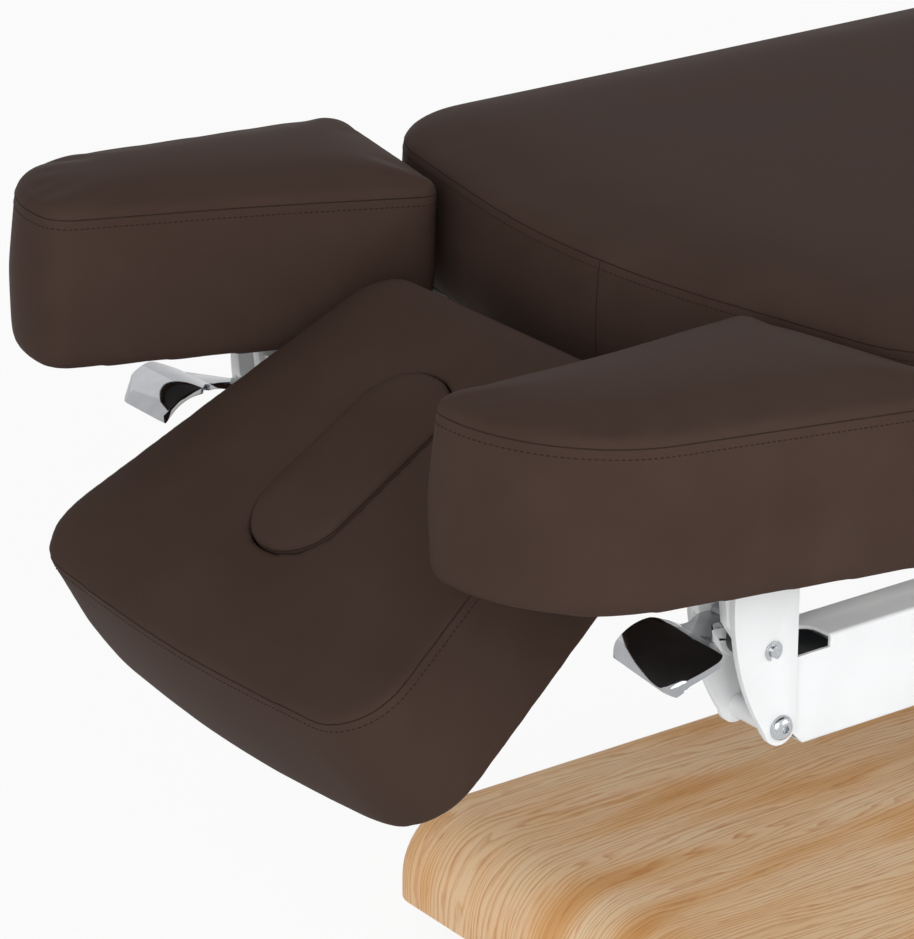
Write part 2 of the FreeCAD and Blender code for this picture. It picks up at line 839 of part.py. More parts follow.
def armrest_yokes():
    """Two cheeks under a flange, with an eye that turns on the fork's pin."""
    body = new_body("yoke")
    side = new_sketch(body, "XZ_Plane")
    radius = "yoke_eye_radius"
    outline(
        side,
        ("0", f"-{radius}", radius),
        (radius, "0", radius),
        ("yoke_rear", YOKE_RISE),
        ("-yoke_front", YOKE_RISE),
        ("-yoke_waist", "yoke_waist_rise"),
        (f"-{radius} * cos(15)", f"-{radius} * sin(15)"),
    )
    circle(side, "0", "0", "pivot_pin_radius + running_gap")
    circle(side, "-lever_pin_dx", "lever_pin_rise", "lever_pin_radius")
    pad(body, side, "yoke_width", both=True)
    gap = new_sketch(body, "YZ_Plane")
    half = "yoke_width / 2 - yoke_cheek"
    rectangle(gap, f"-({half})", f"-2 * {radius}", half, f"{YOKE_RISE} - yoke_flange")
    pocket(body, gap, "4 * yoke_front")
    place(body, "pivot_x", RAIL_MIDDLE, "pivot_z", turn=FreeCAD.Rotation(Y_AXIS, number("armrest_pitch")))
    keep_pair(body, "armrest_yoke")


PIN_X = "pivot_x - lever_pin_dx * cos(armrest_pitch) + lever_pin_rise * sin(armrest_pitch)"
PIN_Z = "pivot_z + lever_pin_dx * sin(armrest_pitch) + lever_pin_rise * cos(armrest_pitch)"


def lever_pins():
    start = f"{RAIL_MIDDLE} - yoke_width / 2"
    pin = rod("lever_pin", (PIN_X, start, PIN_Z), "y", "lever_pin_radius", "yoke_width")
    keep_pair(pin, "lever_pin")


def release_levers():
    """Strip with a rolled paddle and a bent neck, on a barrel with a brake shoe."""
    profile = new_body("lever_profile")
    side = new_sketch(profile, "XZ_Plane")
    centre = ("-lever_crest_dx", "lever_crest_rise - lever_bend")
    outer = "(lever_bend + lever_thick / 2)"
    inner = "(lever_bend - lever_thick / 2)"
    outline(
        side,
        ("0", "lever_thick / 2"),
        (f"{centre[0]} + {outer} * sin(lever_neck_angle)", f"{centre[1]} + {outer} * cos(lever_neck_angle)"),
        (f"{centre[0]} - {outer} * sin(lever_tip_angle)", f"{centre[1]} + {outer} * cos(lever_tip_angle)",
         outer),
        (f"{centre[0]} - {inner} * sin(lever_tip_angle)", f"{centre[1]} + {inner} * cos(lever_tip_angle)"),
        (f"{centre[0]} + {inner} * sin(lever_neck_angle)", f"{centre[1]} + {inner} * cos(lever_neck_angle)",
         inner, "cw"),
        ("0", "-lever_thick / 2"),
    )
    pad(profile, side, "4 * paddle_half", both=True)
    place(profile, PIN_X, "paddle_centre", PIN_Z)

    plan = new_body("lever_plan")
    top = new_sketch(plan, "XY_Plane")
    tip = f"-(lever_crest_dx + {outer} * sin(lever_tip_angle))"
    heel = "-lever_crest_dx + 3"
    root = "rail_inner + rail_width / 2 - paddle_centre"
    outline(
        top,
        (tip, "-paddle_half"),
        (tip, "paddle_half"),
        (heel, "paddle_half"),
        ("-lever_neck_dx", f"{root} + neck_half"),
        ("0", f"{root} + neck_half"),
        ("0", f"{root} - neck_half"),
        ("-lever_neck_dx + neck_half / 2", f"{root} - neck_half"),
        ("-lever_crest_dx + 1.8 * neck_half", f"{root} + neck_half"),
        (heel, "-paddle_half"),
    )
    pad(plan, top, "6 * paddle_half", both=True)
    limit = number("-lever_crest_dx + neck_half")

    def paddle_edge(edge, middle):
        return runs_along(edge, Z_AXIS) and middle.x < limit

    def neck_edge(edge, middle):
        return runs_along(edge, Z_AXIS) and limit < middle.x < -1

    soften(plan, "paddle_corner", paddle_edge)
    soften(plan, "neck_bend", neck_edge)
    place(plan, PIN_X, "paddle_centre", PIN_Z)

    strip = doc.addObject("Part::MultiCommon", "lever_strip")
    strip.Shapes = [profile, plan]
    start = f"{RAIL_MIDDLE} - lever_barrel_width / 2"
    barrel = rod("lever_barrel", (PIN_X, start, PIN_Z), "y", "lever_barrel_radius", "lever_barrel_width")
    shoe = doc.addObject("Part::Box", "lever_shoe")
    drive(shoe, Length="lever_shoe_length", Width="lever_shoe_width", Height="lever_shoe_thick")
    toward = math.degrees(math.atan2(number(f"{PIN_Z} - pivot_z"), number(f"pivot_x - ({PIN_X})")))
    lean = math.radians(toward)
    place(shoe, f"{PIN_X} - lever_shoe_thick / 2 * {math.sin(lean)}", f"{RAIL_MIDDLE} - lever_shoe_width / 2",
          f"{PIN_Z} - lever_shoe_thick / 2 * {math.cos(lean)}", turn=FreeCAD.Rotation(Y_AXIS, toward))
    bore = rod("lever_bore", (PIN_X, f"{start} - 1", PIN_Z), "y", "lever_pin_radius + running_gap",
               "lever_barrel_width + 2")
    keep_pair(cut("lever", fuse("lever_solid", strip, barrel, shoe), bore), "release_lever")


# Headrest hinge

HINGE_X = "head_x + headrest_hinge_dx"
HINGE_Z = "deck_height - headrest_hinge_drop"


def headrest_shaft():
    shaft = rod("hinge_shaft", (HINGE_X, "-shaft_half", HINGE_Z), "y", "shaft_radius", "2 * shaft_half")
    keep(shaft, "headrest_shaft")


def headrest_lugs():
    """Lugs on the deck's front tube that hold the shaft, each with a friction disc at its inner face."""
    body = new_body("lug")
    sketch = new_sketch(body, "XZ_Plane")
    outline(
        sketch,
        ("-lug_radius", "0", "lug_radius"),
        ("0", "-lug_radius", "lug_radius"),
        ("lug_tail / 2", "-lug_drop"),
        ("lug_tail", "-lug_drop"),
        ("lug_tail", "lug_radius"),
        ("0", "lug_radius"),
    )
    circle(sketch, "0", "0", "shaft_radius")
    pad(body, sketch, "lug_thick", both=True)
    place(body, HINGE_X, "lug_inner + lug_thick / 2", HINGE_Z)
    keep_both(body, "headrest_lugs")
    face = "lug_inner - disc_thick"
    disc = rod("hinge_disc", (HINGE_X, face, HINGE_Z), "y", "lug_radius", "disc_thick")
    bore = rod("hinge_disc_bore", (HINGE_X, f"{face} - 1", HINGE_Z), "y", "shaft_radius", "disc_thick + 2")
    keep_both(cut("hinge_disc_ring", disc, bore), "headrest_friction_discs")


def headrest_arms():
    """Arms under the headrest board, each with a flange for the board and a bush in its eye."""
    body = new_body("arm")
    sketch = new_sketch(body, "XZ_Plane")
    low = "-(arm_top + arm_height)"
    outline(
        sketch,
        ("0", "lug_radius", "lug_radius"),
        ("-lug_radius", "0", "lug_radius"),
        ("-lug_radius", "-arm_top"),
        ("-arm_length", "-arm_top"),
        ("-arm_length", "-(arm_top + arm_height / 2)"),
        ("-4 * lug_radius", low),
        ("0", "-lug_radius"),
        ("lug_radius", "0", "lug_radius"),
    )
    circle(sketch, "0", "0", "bush_radius")
    pad(body, sketch, "arm_thick", both=True)
    flange = new_sketch(body, "XZ_Plane")
    rectangle(flange, "-arm_length", "-(arm_top + arm_flange_thick)", "-arm_flange_start", "-arm_top")
    pad(body, flange, "arm_flange")
    place(body, HINGE_X, "arm_outer - arm_thick / 2", HINGE_Z,
          turn=FreeCAD.Rotation(Y_AXIS, -number("headrest_tilt")))
    keep_pair(body, "headrest_arm")
    start = "arm_outer - arm_thick"
    ring = rod("bush_ring", (HINGE_X, start, HINGE_Z), "y", "bush_radius", "arm_thick")
    bore = rod("bush_bore", (HINGE_X, f"{start} - 1", HINGE_Z), "y", "shaft_radius + running_gap",
               "arm_thick + 2")
    keep_both(cut("bush", ring, bore), "headrest_bushes")


# Deck frame under the mattress board

DECK_TOP = "deck_height - pad_depth"


def deck_frame():
    """Square tubes welded to a frame: two along the table and one across each end."""
    front = "head_x + deck_front_dx"
    middle_z = f"{DECK_TOP} - deck_tube / 2"
    long_tube = tube("deck_long", "YZ_Plane", "deck_tube", "deck_tube", "deck_tube_wall",
                     f"deck_rear_x - ({front})", "deck_tube_wall")
    place(long_tube, front, "deck_tube_inner + deck_tube / 2", middle_z)
    cross_tubes = []
    for name, x in (("front", f"{front} + deck_tube / 2"), ("rear", "deck_rear_x - deck_tube / 2")):
        across = tube(f"deck_cross_{name}", "XZ_Plane", "deck_tube", "deck_tube", "deck_tube_wall",
                      "2 * deck_tube_inner + deck_tube_wall", "deck_tube_wall", both=True)
        place(across, x, "0", middle_z)
        cross_tubes.append(across)
    keep(fuse("deck_welded", long_tube, mirror(long_tube), *cross_tubes), "deck_frame")


def deck_risers():
    stubs = []
    for row in range(4):
        stub = tube(f"riser_{row}", "XY_Plane", "riser_length", "riser_width", "deck_tube_wall",
                    f"{DECK_TOP} - deck_tube - rail_top", "deck_tube_wall")
        place(stub, f"riser_first_x + {row} * riser_pitch", RAIL_MIDDLE, "rail_top")
        stubs.append(stub)
    keep_both(group("risers", *stubs), "deck_risers")


def column_beams():
    beams = []
    for name, x in COLUMNS.items():
        beam = tube(f"beam_{name}", "XZ_Plane", "beam_length", "beam_height", "base_tube_wall",
                    "2 * rail_inner", "base_tube_wall", both=True)
        place(beam, x, "0", "rail_top - rail_height + beam_height / 2")
        beams.append(beam)
    keep(group("beams", *beams), "column_beams")


# Lifting columns

BEAM_Z = "rail_top - rail_height"


def column_tube(name, x, step, bottom, top):
    body = tube(name, "XY_Plane", f"(column_length - {2 * step} * column_step)",
                f"(column_width - {2 * step} * column_step)", "column_wall", f"{top} - ({bottom})",
                "column_round", kind="Fillet")
    place(body, x, "0", bottom)
    return body


def glide(name, x, step, top):
    """Plastic ring in the mouth of a tube; the next tube slides in it."""
    body = new_body(name)
    section = new_sketch(body, "XY_Plane")
    for length, width in (
        (f"column_length - {2 * step} * column_step - 2 * column_wall",
         f"column_width - {2 * step} * column_step - 2 * column_wall"),
        (f"column_length - {2 * step + 2} * column_step + 2 * glide_gap",
         f"column_width - {2 * step + 2} * column_step + 2 * glide_gap"),
    ):
        rectangle(section, f"-({length}) / 2", f"-({width}) / 2", f"({length}) / 2", f"({width}) / 2")
    pad(body, section, "glide_height")
    place(body, x, "0", f"{top} - glide_height")
    return body


def outer_columns():
    """Fixed tubes on their base plates, with glides in their mouths."""
    tubes = []
    glides = []
    for name, x in COLUMNS.items():
        shell = column_tube(f"outer_{name}", x, 0, "base_plate_z + base_plate_thick", "outer_top")
        plate = block(f"base_plate_{name}",
                      (f"{x} - base_plate_half", "-(base_tube_inner + base_tube_width)", "base_plate_z"),
                      ("2 * base_plate_half", "2 * (base_tube_inner + base_tube_width)", "base_plate_thick"))
        hole = rod(f"base_plate_hole_{name}", (x, "0", "base_plate_z - 1"), "z", "screw_radius + 6",
                   "base_plate_thick + 2")
        tubes.append(cut(f"outer_welded_{name}", fuse(f"outer_solid_{name}", shell, plate), hole))
        glides.append(glide(f"lower_glide_{name}", x, 0, "outer_top"))
    keep(group("outer_tubes", *tubes), "column_outer_tubes")
    keep(group("lower_glides", *glides), "column_glides_lower")


def mid_columns():
    """Middle tubes with a bulkhead that carries the drive nut."""
    for name, x in COLUMNS.items():
        shell = column_tube(f"mid_{name}", x, 1, "mid_bottom", "mid_top")
        half_x = "(column_length / 2 - column_step - column_wall / 2)"
        half_y = "(column_width / 2 - column_step - column_wall / 2)"
        bulkhead = block(f"bulkhead_{name}", (f"{x} - {half_x}", f"-{half_y}", "bulkhead_z"),
                         (f"2 * {half_x}", f"2 * {half_y}", "bulkhead_thick"))
        hole = rod(f"bulkhead_hole_{name}", (x, "0", "bulkhead_z - 1"), "z", "screw_radius + 2",
                   "bulkhead_thick + 2")
        welded = fuse(f"mid_solid_{name}", shell, bulkhead)
        keep(cut(f"mid_welded_{name}", welded, hole), f"column_mid_{name}")
        keep(glide(f"upper_glide_{name}", x, 1, "mid_top"), f"column_glide_upper_{name}")
        seat = "bulkhead_z + bulkhead_thick"
        nut = hexagon(f"drive_nut_solid_{name}", (x, "0", seat), "z", "nut_radius", "nut_height")
        thread = rod(f"drive_nut_bore_{name}", (x, "0", f"{seat} - 1"), "z", "screw_radius + screw_gap",
                     "nut_height + 2")
        keep(cut(f"drive_nut_ring_{name}", nut, thread), f"drive_nut_{name}")


def inner_columns():
    """Inner tubes under the plates that carry the beams."""
    for name, x in COLUMNS.items():
        plate_z = f"{BEAM_Z} - top_plate_thick"
        shell = column_tube(f"inner_{name}", x, 2, "inner_bottom", plate_z)
        plate = block(f"top_plate_{name}", (f"{x} - top_plate_half_x", "-top_plate_half_y", plate_z),
                      ("2 * top_plate_half_x", "2 * top_plate_half_y", "top_plate_thick"))
        keep(fuse(f"inner_welded_{name}", shell, plate), f"column_inner_{name}")


def lift_drives():
    """Screws in the nuts, turned by gearboxes and motors under the base plates."""
    boxes = []
    motors = []
    for name, x in COLUMNS.items():
        screw = rod(f"screw_{name}", (x, "0", "base_plate_z - gearbox_height / 2"), "z", "screw_radius",
                    "screw_top - base_plate_z + gearbox_height / 2")
        keep(screw, f"drive_screw_{name}")
        case = block(f"gear_case_{name}",
                     (f"{x} - gearbox_half", "-gearbox_half", "base_plate_z - gearbox_height"),
                     ("gearbox_half + gearbox_reach", "2 * gearbox_half", "gearbox_height"))
        well = rod(f"gear_well_{name}", (x, "0", "base_plate_z - gearbox_height / 2 - screw_gap"), "z",
                   "screw_radius + screw_gap", "gearbox_height")
        boxes.append(cut(f"gearbox_{name}", case, well))
        motors.append(rod(f"motor_{name}", (f"{x} + gearbox_reach", "0", "motor_z"), "x", "motor_radius",
                          "motor_length"))
    keep(group("gearboxes", *boxes), "lift_gearboxes")
    keep(group("motors", *motors), "lift_motors")


# Control box on a tray between the rails

def control_unit():
    tray = block("tray", ("control_x - tray_margin", "-rail_inner", BEAM_Z),
                 ("control_length + 2 * tray_margin", "2 * rail_inner", "tray_thick"))
    keep(tray, "control_tray")
    body = new_body("control")
    plan = new_sketch(body, "XY_Plane")
    rectangle(plan, "0", "-control_half", "control_length", "control_half")
    pad(body, plan, "control_height")
    soften(body, "control_round", lambda edge, middle: runs_along(edge, Z_AXIS))
    box_z = f"{BEAM_Z} + tray_thick"
    place(body, "control_x", "0", box_z)
    keep(body, "control_box")
    face = "control_x + control_length"
    middle_z = f"{box_z} + control_height / 2"
    shell = block("inlet_shell", (face, "-control_half / 2 - inlet_half", f"{middle_z} - inlet_height / 2"),
                  ("inlet_depth", "2 * inlet_half", "inlet_height"))
    hollow = block("inlet_hollow", (f"{face} + inlet_wall", "-control_half / 2 - inlet_half + inlet_wall",
                                    f"{middle_z} - inlet_height / 2 + inlet_wall"),
                   ("inlet_depth", "2 * (inlet_half - inlet_wall)", "inlet_height - 2 * inlet_wall"))
    keep(cut("inlet", shell, hollow), "mains_inlet")
    frame = block("socket_frame", (face, "control_half / 2 - socket_half", f"{middle_z} - socket_half"),
                  ("inlet_depth", "2 * socket_half", "2 * socket_half"))
    bore = rod("socket_bore_hole", (f"{face} + inlet_wall", "control_half / 2", middle_z), "x", "socket_bore",
               "inlet_depth")
    keep(cut("socket", frame, bore), "handset_socket")


# Base

def base_frame():
    """Flat tubes welded to a frame, with blocks on top that carry the cover."""
    length = "base_tube_rear_x - base_tube_front_x"
    middle_z = "cover_bottom + base_tube_height / 2"
    long_tube = tube("base_long", "YZ_Plane", "base_tube_width", "base_tube_height", "base_tube_wall", length,
                     "base_tube_wall")
    place(long_tube, "base_tube_front_x", "base_tube_inner + base_tube_width / 2", middle_z)
    parts = [long_tube, mirror(long_tube)]
    for name, x in (("front", "base_tube_front_x + base_tube_width / 2"),
                    ("rear", "base_tube_rear_x - base_tube_width / 2")):
        across = tube(f"base_cross_{name}", "XZ_Plane", "base_tube_width", "base_tube_height",
                      "base_tube_wall", "2 * base_tube_inner + base_tube_wall", "base_tube_wall", both=True)
        place(across, x, "0", middle_z)
        parts.append(across)
    for name, x in (("front", "base_tube_front_x + support_inset"),
                    ("rear", "base_tube_rear_x - support_inset - support_length")):
        support = block(f"support_{name}", (x, "base_tube_inner + base_tube_width / 4",
                                            "cover_bottom + base_tube_height"),
                        ("support_length", "base_tube_width / 2",
                         "cover_top - cover_thick - cover_bottom - base_tube_height"))
        parts.extend((support, mirror(support)))
    keep(fuse("base_welded", *parts), "base_frame")


def levelling_feet():
    """Round pads under hexagonal adjusters, below the ends of the long tubes."""
    feet = []
    y = "base_tube_inner + base_tube_width / 2"
    for name, x in (("front", "base_tube_front_x + foot_inset"), ("rear", "base_tube_rear_x - foot_inset")):
        disc = rod(f"foot_pad_{name}", (x, y, "0"), "z", "foot_radius", "foot_pad_height")
        adjuster = hexagon(f"foot_adjuster_{name}", (x, y, "foot_pad_height"), "z", "foot_nut_radius",
                           "cover_bottom - foot_pad_height")
        feet.append(fuse(f"foot_{name}", disc, adjuster))
    keep_both(group("feet", *feet), "levelling_feet")


def base_cover():
    """Oak shell whose top rolls over at both ends, open below, with a hole for each column."""
    body = new_body("cover")
    for inset in ("0", "cover_thick"):
        front, rear = f"cover_front_x + {inset}", f"cover_rear_x - {inset}"
        top, bend = f"cover_top - {inset}", f"cover_bend - {inset}"
        side = new_sketch(body, "XZ_Plane")
        low = "cover_bottom" if inset == "0" else "cover_bottom - 1"
        outline(
            side,
            (front, low),
            (rear, low),
            (rear, "cover_top - cover_bend"),
            ("cover_rear_x - cover_bend", top, bend),
            ("cover_front_x + cover_bend", top),
            (front, "cover_top - cover_bend", bend),
        )
        if inset == "0":
            pad(body, side, "2 * cover_half", both=True)
            half, low_z = number("cover_half"), number("cover_bottom")

            def side_edge(edge, middle):
                return abs(abs(middle.y) - half) < 0.01 and middle.z > low_z + 1

            soften(body, "cover_edge", side_edge)
        else:
            pocket(body, side, "2 * (cover_half - cover_thick)")
    holes = new_sketch(body, "XY_Plane")
    for x in COLUMNS.values():
        half_x = "(column_length / 2 + cover_column_gap)"
        half_y = "(column_width / 2 + cover_column_gap)"
        rectangle(holes, f"{x} - {half_x}", f"-{half_y}", f"{x} + {half_x}", half_y)
    pocket(body, holes, "4 * cover_top")
    keep(body, "base_cover")


# Build, check and write

def write_pieces():
    doc.recompute()
    for thing in doc.Objects:
        if "Invalid" in thing.State or "Error" in thing.State:
            raise RuntimeError(f"{thing.Name} did not build: {thing.State}")
    os.makedirs("parts", exist_ok=True)
    for thing in pieces:
        shape = thing.Shape
        if shape.isNull() or not shape.isValid() or not shape.Solids:
            raise RuntimeError(f"{thing.Label} has no valid solid")
        shape.exportStep(f"parts/{thing.Label}.step")


def main():
    fill_sheet()
    mattress()
    headrest()
    face_plug()
    for side, sign in SIDES.items():
        armrest(side, sign)
    side_rails()
    rail_end_caps()
    fork_plates()
    fork_fasteners()
    pivot_pins()
    brake_blocks()
    armrest_yokes()
    lever_pins()
    release_levers()
    headrest_shaft()
    headrest_lugs()
    headrest_arms()
    deck_frame()
    deck_risers()
    column_beams()
    outer_columns()
    mid_columns()
    inner_columns()
    lift_drives()
    control_unit()
    base_frame()
    levelling_feet()
    base_cover()
    write_pieces()


main()
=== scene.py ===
import json
import logging
import math
from dataclasses import dataclass
from enum import Enum

import bpy
import numpy as np
from bpy.types import Material, Mesh, Node, NodeSocket, NodeTree, Object
from mathutils import Matrix, Vector
from mathutils.bvhtree import BVHTree

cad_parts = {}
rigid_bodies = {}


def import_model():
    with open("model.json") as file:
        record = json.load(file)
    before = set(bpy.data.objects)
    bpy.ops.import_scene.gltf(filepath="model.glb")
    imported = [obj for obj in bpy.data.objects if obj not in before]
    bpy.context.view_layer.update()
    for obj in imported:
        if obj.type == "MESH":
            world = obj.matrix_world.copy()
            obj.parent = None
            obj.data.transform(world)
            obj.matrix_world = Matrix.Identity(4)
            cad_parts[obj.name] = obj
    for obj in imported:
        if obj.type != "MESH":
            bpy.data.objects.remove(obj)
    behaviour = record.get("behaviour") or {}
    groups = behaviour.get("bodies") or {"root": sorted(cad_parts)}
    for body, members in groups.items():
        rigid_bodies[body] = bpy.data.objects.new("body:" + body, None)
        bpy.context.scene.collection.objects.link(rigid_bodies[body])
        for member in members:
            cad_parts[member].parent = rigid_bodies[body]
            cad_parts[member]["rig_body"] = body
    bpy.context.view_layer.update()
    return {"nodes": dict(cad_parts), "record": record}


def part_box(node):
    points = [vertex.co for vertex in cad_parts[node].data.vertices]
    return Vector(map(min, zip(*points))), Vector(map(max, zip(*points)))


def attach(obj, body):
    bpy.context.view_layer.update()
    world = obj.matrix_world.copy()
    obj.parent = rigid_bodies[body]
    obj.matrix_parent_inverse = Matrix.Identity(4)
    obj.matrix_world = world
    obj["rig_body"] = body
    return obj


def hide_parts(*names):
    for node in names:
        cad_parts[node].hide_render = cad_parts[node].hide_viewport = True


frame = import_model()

log = logging.getLogger("massage_table")

MM = 0.001

# Points nearer than this are one point. Faces that turn by less than the flat angle are one face, edges
# sharper than the edge angle get a round, and shading runs smooth up to the smooth angle.
MERGE_DISTANCE = 0.02 * MM
FLAT_ANGLE = math.radians(0.5)
EDGE_ANGLE = math.radians(32)
SMOOTH_ANGLE = math.radians(35)


class Slot(Enum):
    """Finishes of the table, by the names that its record gives them."""

    UPHOLSTERY = "upholstery"
    PLYWOOD = "plywood"
    OAK = "oak"
    WHITE_STEEL = "white_steel"
    GREY_STEEL = "grey_steel"
    CHROME = "chrome"
    ZINC_STEEL = "zinc_steel"
    CAST_ALUMINIUM = "cast_aluminium"
    NYLON = "nylon"
    BLACK_PLASTIC = "black_plastic"
    RUBBER = "rubber"


# Colour and node helpers

def linear(hex_colour: str) -> tuple[float, float, float, float]:
    """Turns an sRGB hex colour into linear light.

    Args:
        hex_colour: a colour such as "#46362F".

    Returns:
        Red, green, blue and an alpha of one.
    """
    channels = [int(hex_colour[i:i + 2], 16) / 255 for i in (1, 3, 5)]
    values = [c / 12.92 if c <= 0.04045 else ((c + 0.055) / 1.055) ** 2.4 for c in channels]
    return values[0], values[1], values[2], 1.0


def add_node(tree: NodeTree, kind: str, inputs: dict | None = None, **settings: object) -> Node:
    """Adds a node with its settings and links.

    Args:
        tree: the material's or world's node tree.
        kind: the node's type, without its leading word ShaderNode.
        inputs: for a socket's name or number, its value, or the node or output that feeds it.
        settings: attributes of the node.

    Returns:
        The new node.
    """
    node = tree.nodes.new(f"ShaderNode{kind}")
    for name, value in settings.items():
        setattr(node, name, value)
    for key, value in (inputs or {}).items():
        source = value.outputs[0] if isinstance(value, Node) else value
        if isinstance(source, NodeSocket):
            tree.links.new(source, node.inputs[key])
        else:
            node.inputs[key].default_value = source
    return node


def blank_material(name: str) -> tuple[Material, NodeTree]:
    """A material with an empty node tree.

    Args:
        name: the material's name.

    Returns:
        The material and its tree.
    """
    material = bpy.data.materials.new(name)
    material.use_nodes = True
    material.node_tree.nodes.clear()
    return material, material.node_tree


def ramp_between(tree: NodeTree, factor: Node, *stops: tuple[float, str]) -> Node:
    """Colours that follow a pattern.

    Args:
        tree: the material's tree.
        factor: the pattern's node.
        stops: each a place on the pattern's range and a hex colour.

    Returns:
        The node that gives the colours.
    """
    ramp = add_node(tree, "ValToRGB", {"Fac": factor})
    elements = ramp.color_ramp.elements
    while len(elements) < len(stops):
        elements.new(0.5)
    for element, (place, colour) in zip(elements, stops):
        element.position = place
        element.color = linear(colour)
    return ramp


def finish_surface(tree: NodeTree, shader: Node) -> None:
    """Joins a shader to the material's output."""
    add_node(tree, "OutputMaterial", {"Surface": shader})


# Finishes

@dataclass(frozen=True)
class SyntheticLeather:
    """Polyurethane leather, embossed with a fine grain: even colour, soft wide highlights."""

    name: str = "brown_pu_leather"
    colour: str = "#453630"
    deep: str = "#42332D"
    pale: str = "#483933"
    grain_mm: float = 1.6
    mottle_mm: float = 90.0
    emboss: float = 0.22
    emboss_depth: float = 0.35 * MM
    roughness: float = 0.54
    specular: float = 0.016

    def make(self) -> Material:
        """Builds the material. The grain is drawn wider than the real 0.6 mm, so that it shows.

        Returns:
            The material.
        """
        material, tree = blank_material(self.name)
        place = add_node(tree, "TexCoord").outputs["Object"]
        mottle = add_node(tree, "TexNoise", {
            "Vector": place, "Scale": 1 / (self.mottle_mm * MM), "Detail": 3.0, "Roughness": 0.55})
        colour = ramp_between(tree, mottle, (0.30, self.deep), (0.52, self.colour), (0.72, self.pale))
        cells = add_node(tree, "TexVoronoi", {
            "Vector": place, "Scale": 1 / (self.grain_mm * MM),
            "Randomness": 0.9}, feature="DISTANCE_TO_EDGE")
        pores = add_node(tree, "TexNoise", {
            "Vector": place, "Scale": 2.2 / (self.grain_mm * MM), "Detail": 2.0})
        height = add_node(tree, "Math", {0: cells, 1: pores}, operation="MULTIPLY")
        emboss = add_node(tree, "Bump", {
            "Strength": self.emboss, "Distance": self.emboss_depth, "Height": height})
        wear = add_node(tree, "MapRange", {
            "Value": mottle, "From Min": 0.3, "From Max": 0.7, "To Min": self.roughness - 0.03,
            "To Max": self.roughness + 0.05})
        shader = add_node(tree, "BsdfPrincipled", {
            "Base Color": colour, "Roughness": wear, "IOR": 1.48, "Specular IOR Level": self.specular,
            "Normal": emboss})
        finish_surface(tree, shader)
        return material


@dataclass(frozen=True)
class SewnThread:
    """Twisted polyester thread: matt, darker than the leather, with a fine twist."""

    name: str = "brown_polyester_thread"
    colour: str = "#2C221D"
    pale: str = "#382C26"
    twist_mm: float = 0.9
    roughness: float = 0.85
    specular: float = 0.05

    def make(self) -> Material:
        """Builds the material.

        Returns:
            The material.
        """
        material, tree = blank_material(self.name)
        place = add_node(tree, "TexCoord").outputs["Object"]
        twist = add_node(tree, "TexNoise", {"Vector": place, "Scale": 1 / (self.twist_mm * MM)})
        colour = ramp_between(tree, twist, (0.35, self.colour), (0.7, self.pale))
        shader = add_node(tree, "BsdfPrincipled", {
            "Base Color": colour, "Roughness": self.roughness, "IOR": 1.5,
            "Specular IOR Level": self.specular})
        finish_surface(tree, shader)
        return material


@dataclass(frozen=True)
class PowderCoat:
    """Powder-coated steel: baked paint with a faint orange-peel skin and a satin gloss."""

    name: str
    colour: str
    shade: str
    peel_mm: float = 2.4
    peel_depth: float = 0.3 * MM
    film_mm: float = 60.0
    roughness: float = 0.38

    def make(self) -> Material:
        """Builds the material.

        Returns:
            The material.
        """
        material, tree = blank_material(self.name)
        place = add_node(tree, "TexCoord").outputs["Object"]
        film = add_node(tree, "TexNoise", {"Vector": place, "Scale": 1 / (self.film_mm * MM), "Detail": 2.0})
        colour = ramp_between(tree, film, (0.35, self.shade), (0.65, self.colour))
        peel = add_node(tree, "TexNoise", {"Vector": place, "Scale": 1 / (self.peel_mm * MM), "Detail": 1.5})
        skin = add_node(tree, "Bump", {"Strength": 0.08, "Distance": self.peel_depth, "Height": peel})
        gloss = add_node(tree, "MapRange", {
            "Value": peel, "To Min": self.roughness - 0.04, "To Max": self.roughness + 0.06})
        shader = add_node(tree, "BsdfPrincipled", {
            "Base Color": colour, "Roughness": gloss, "IOR": 1.5, "Normal": skin})
        finish_surface(tree, shader)
        return material


@dataclass(frozen=True)
class PlatedMetal:
    """Plated or cast metal: its colour, its gloss and the fine marks of its making."""

    name: str
    colour: str
    shade: str
    roughness: float
    spread: float
    mark_mm: float
    mark_depth: float

    def make(self) -> Material:
        """Builds the material.

        Returns:
            The material.
        """
        material, tree = blank_material(self.name)
        place = add_node(tree, "TexCoord").outputs["Object"]
        marks = add_node(tree, "TexNoise", {
            "Vector": place, "Scale": 1 / (self.mark_mm * MM), "Detail": 4.0, "Roughness": 0.6})
        colour = ramp_between(tree, marks, (0.3, self.shade), (0.65, self.colour))
        gloss = add_node(tree, "MapRange", {
            "Value": marks, "From Min": 0.3, "From Max": 0.7, "To Min": self.roughness,
            "To Max": self.roughness + self.spread})
        skin = add_node(tree, "Bump", {"Strength": 0.1, "Distance": self.mark_depth, "Height": marks})
        shader = add_node(tree, "BsdfPrincipled", {
            "Base Color": colour, "Metallic": 1.0, "Roughness": gloss, "Normal": skin})
        finish_surface(tree, shader)
        return material


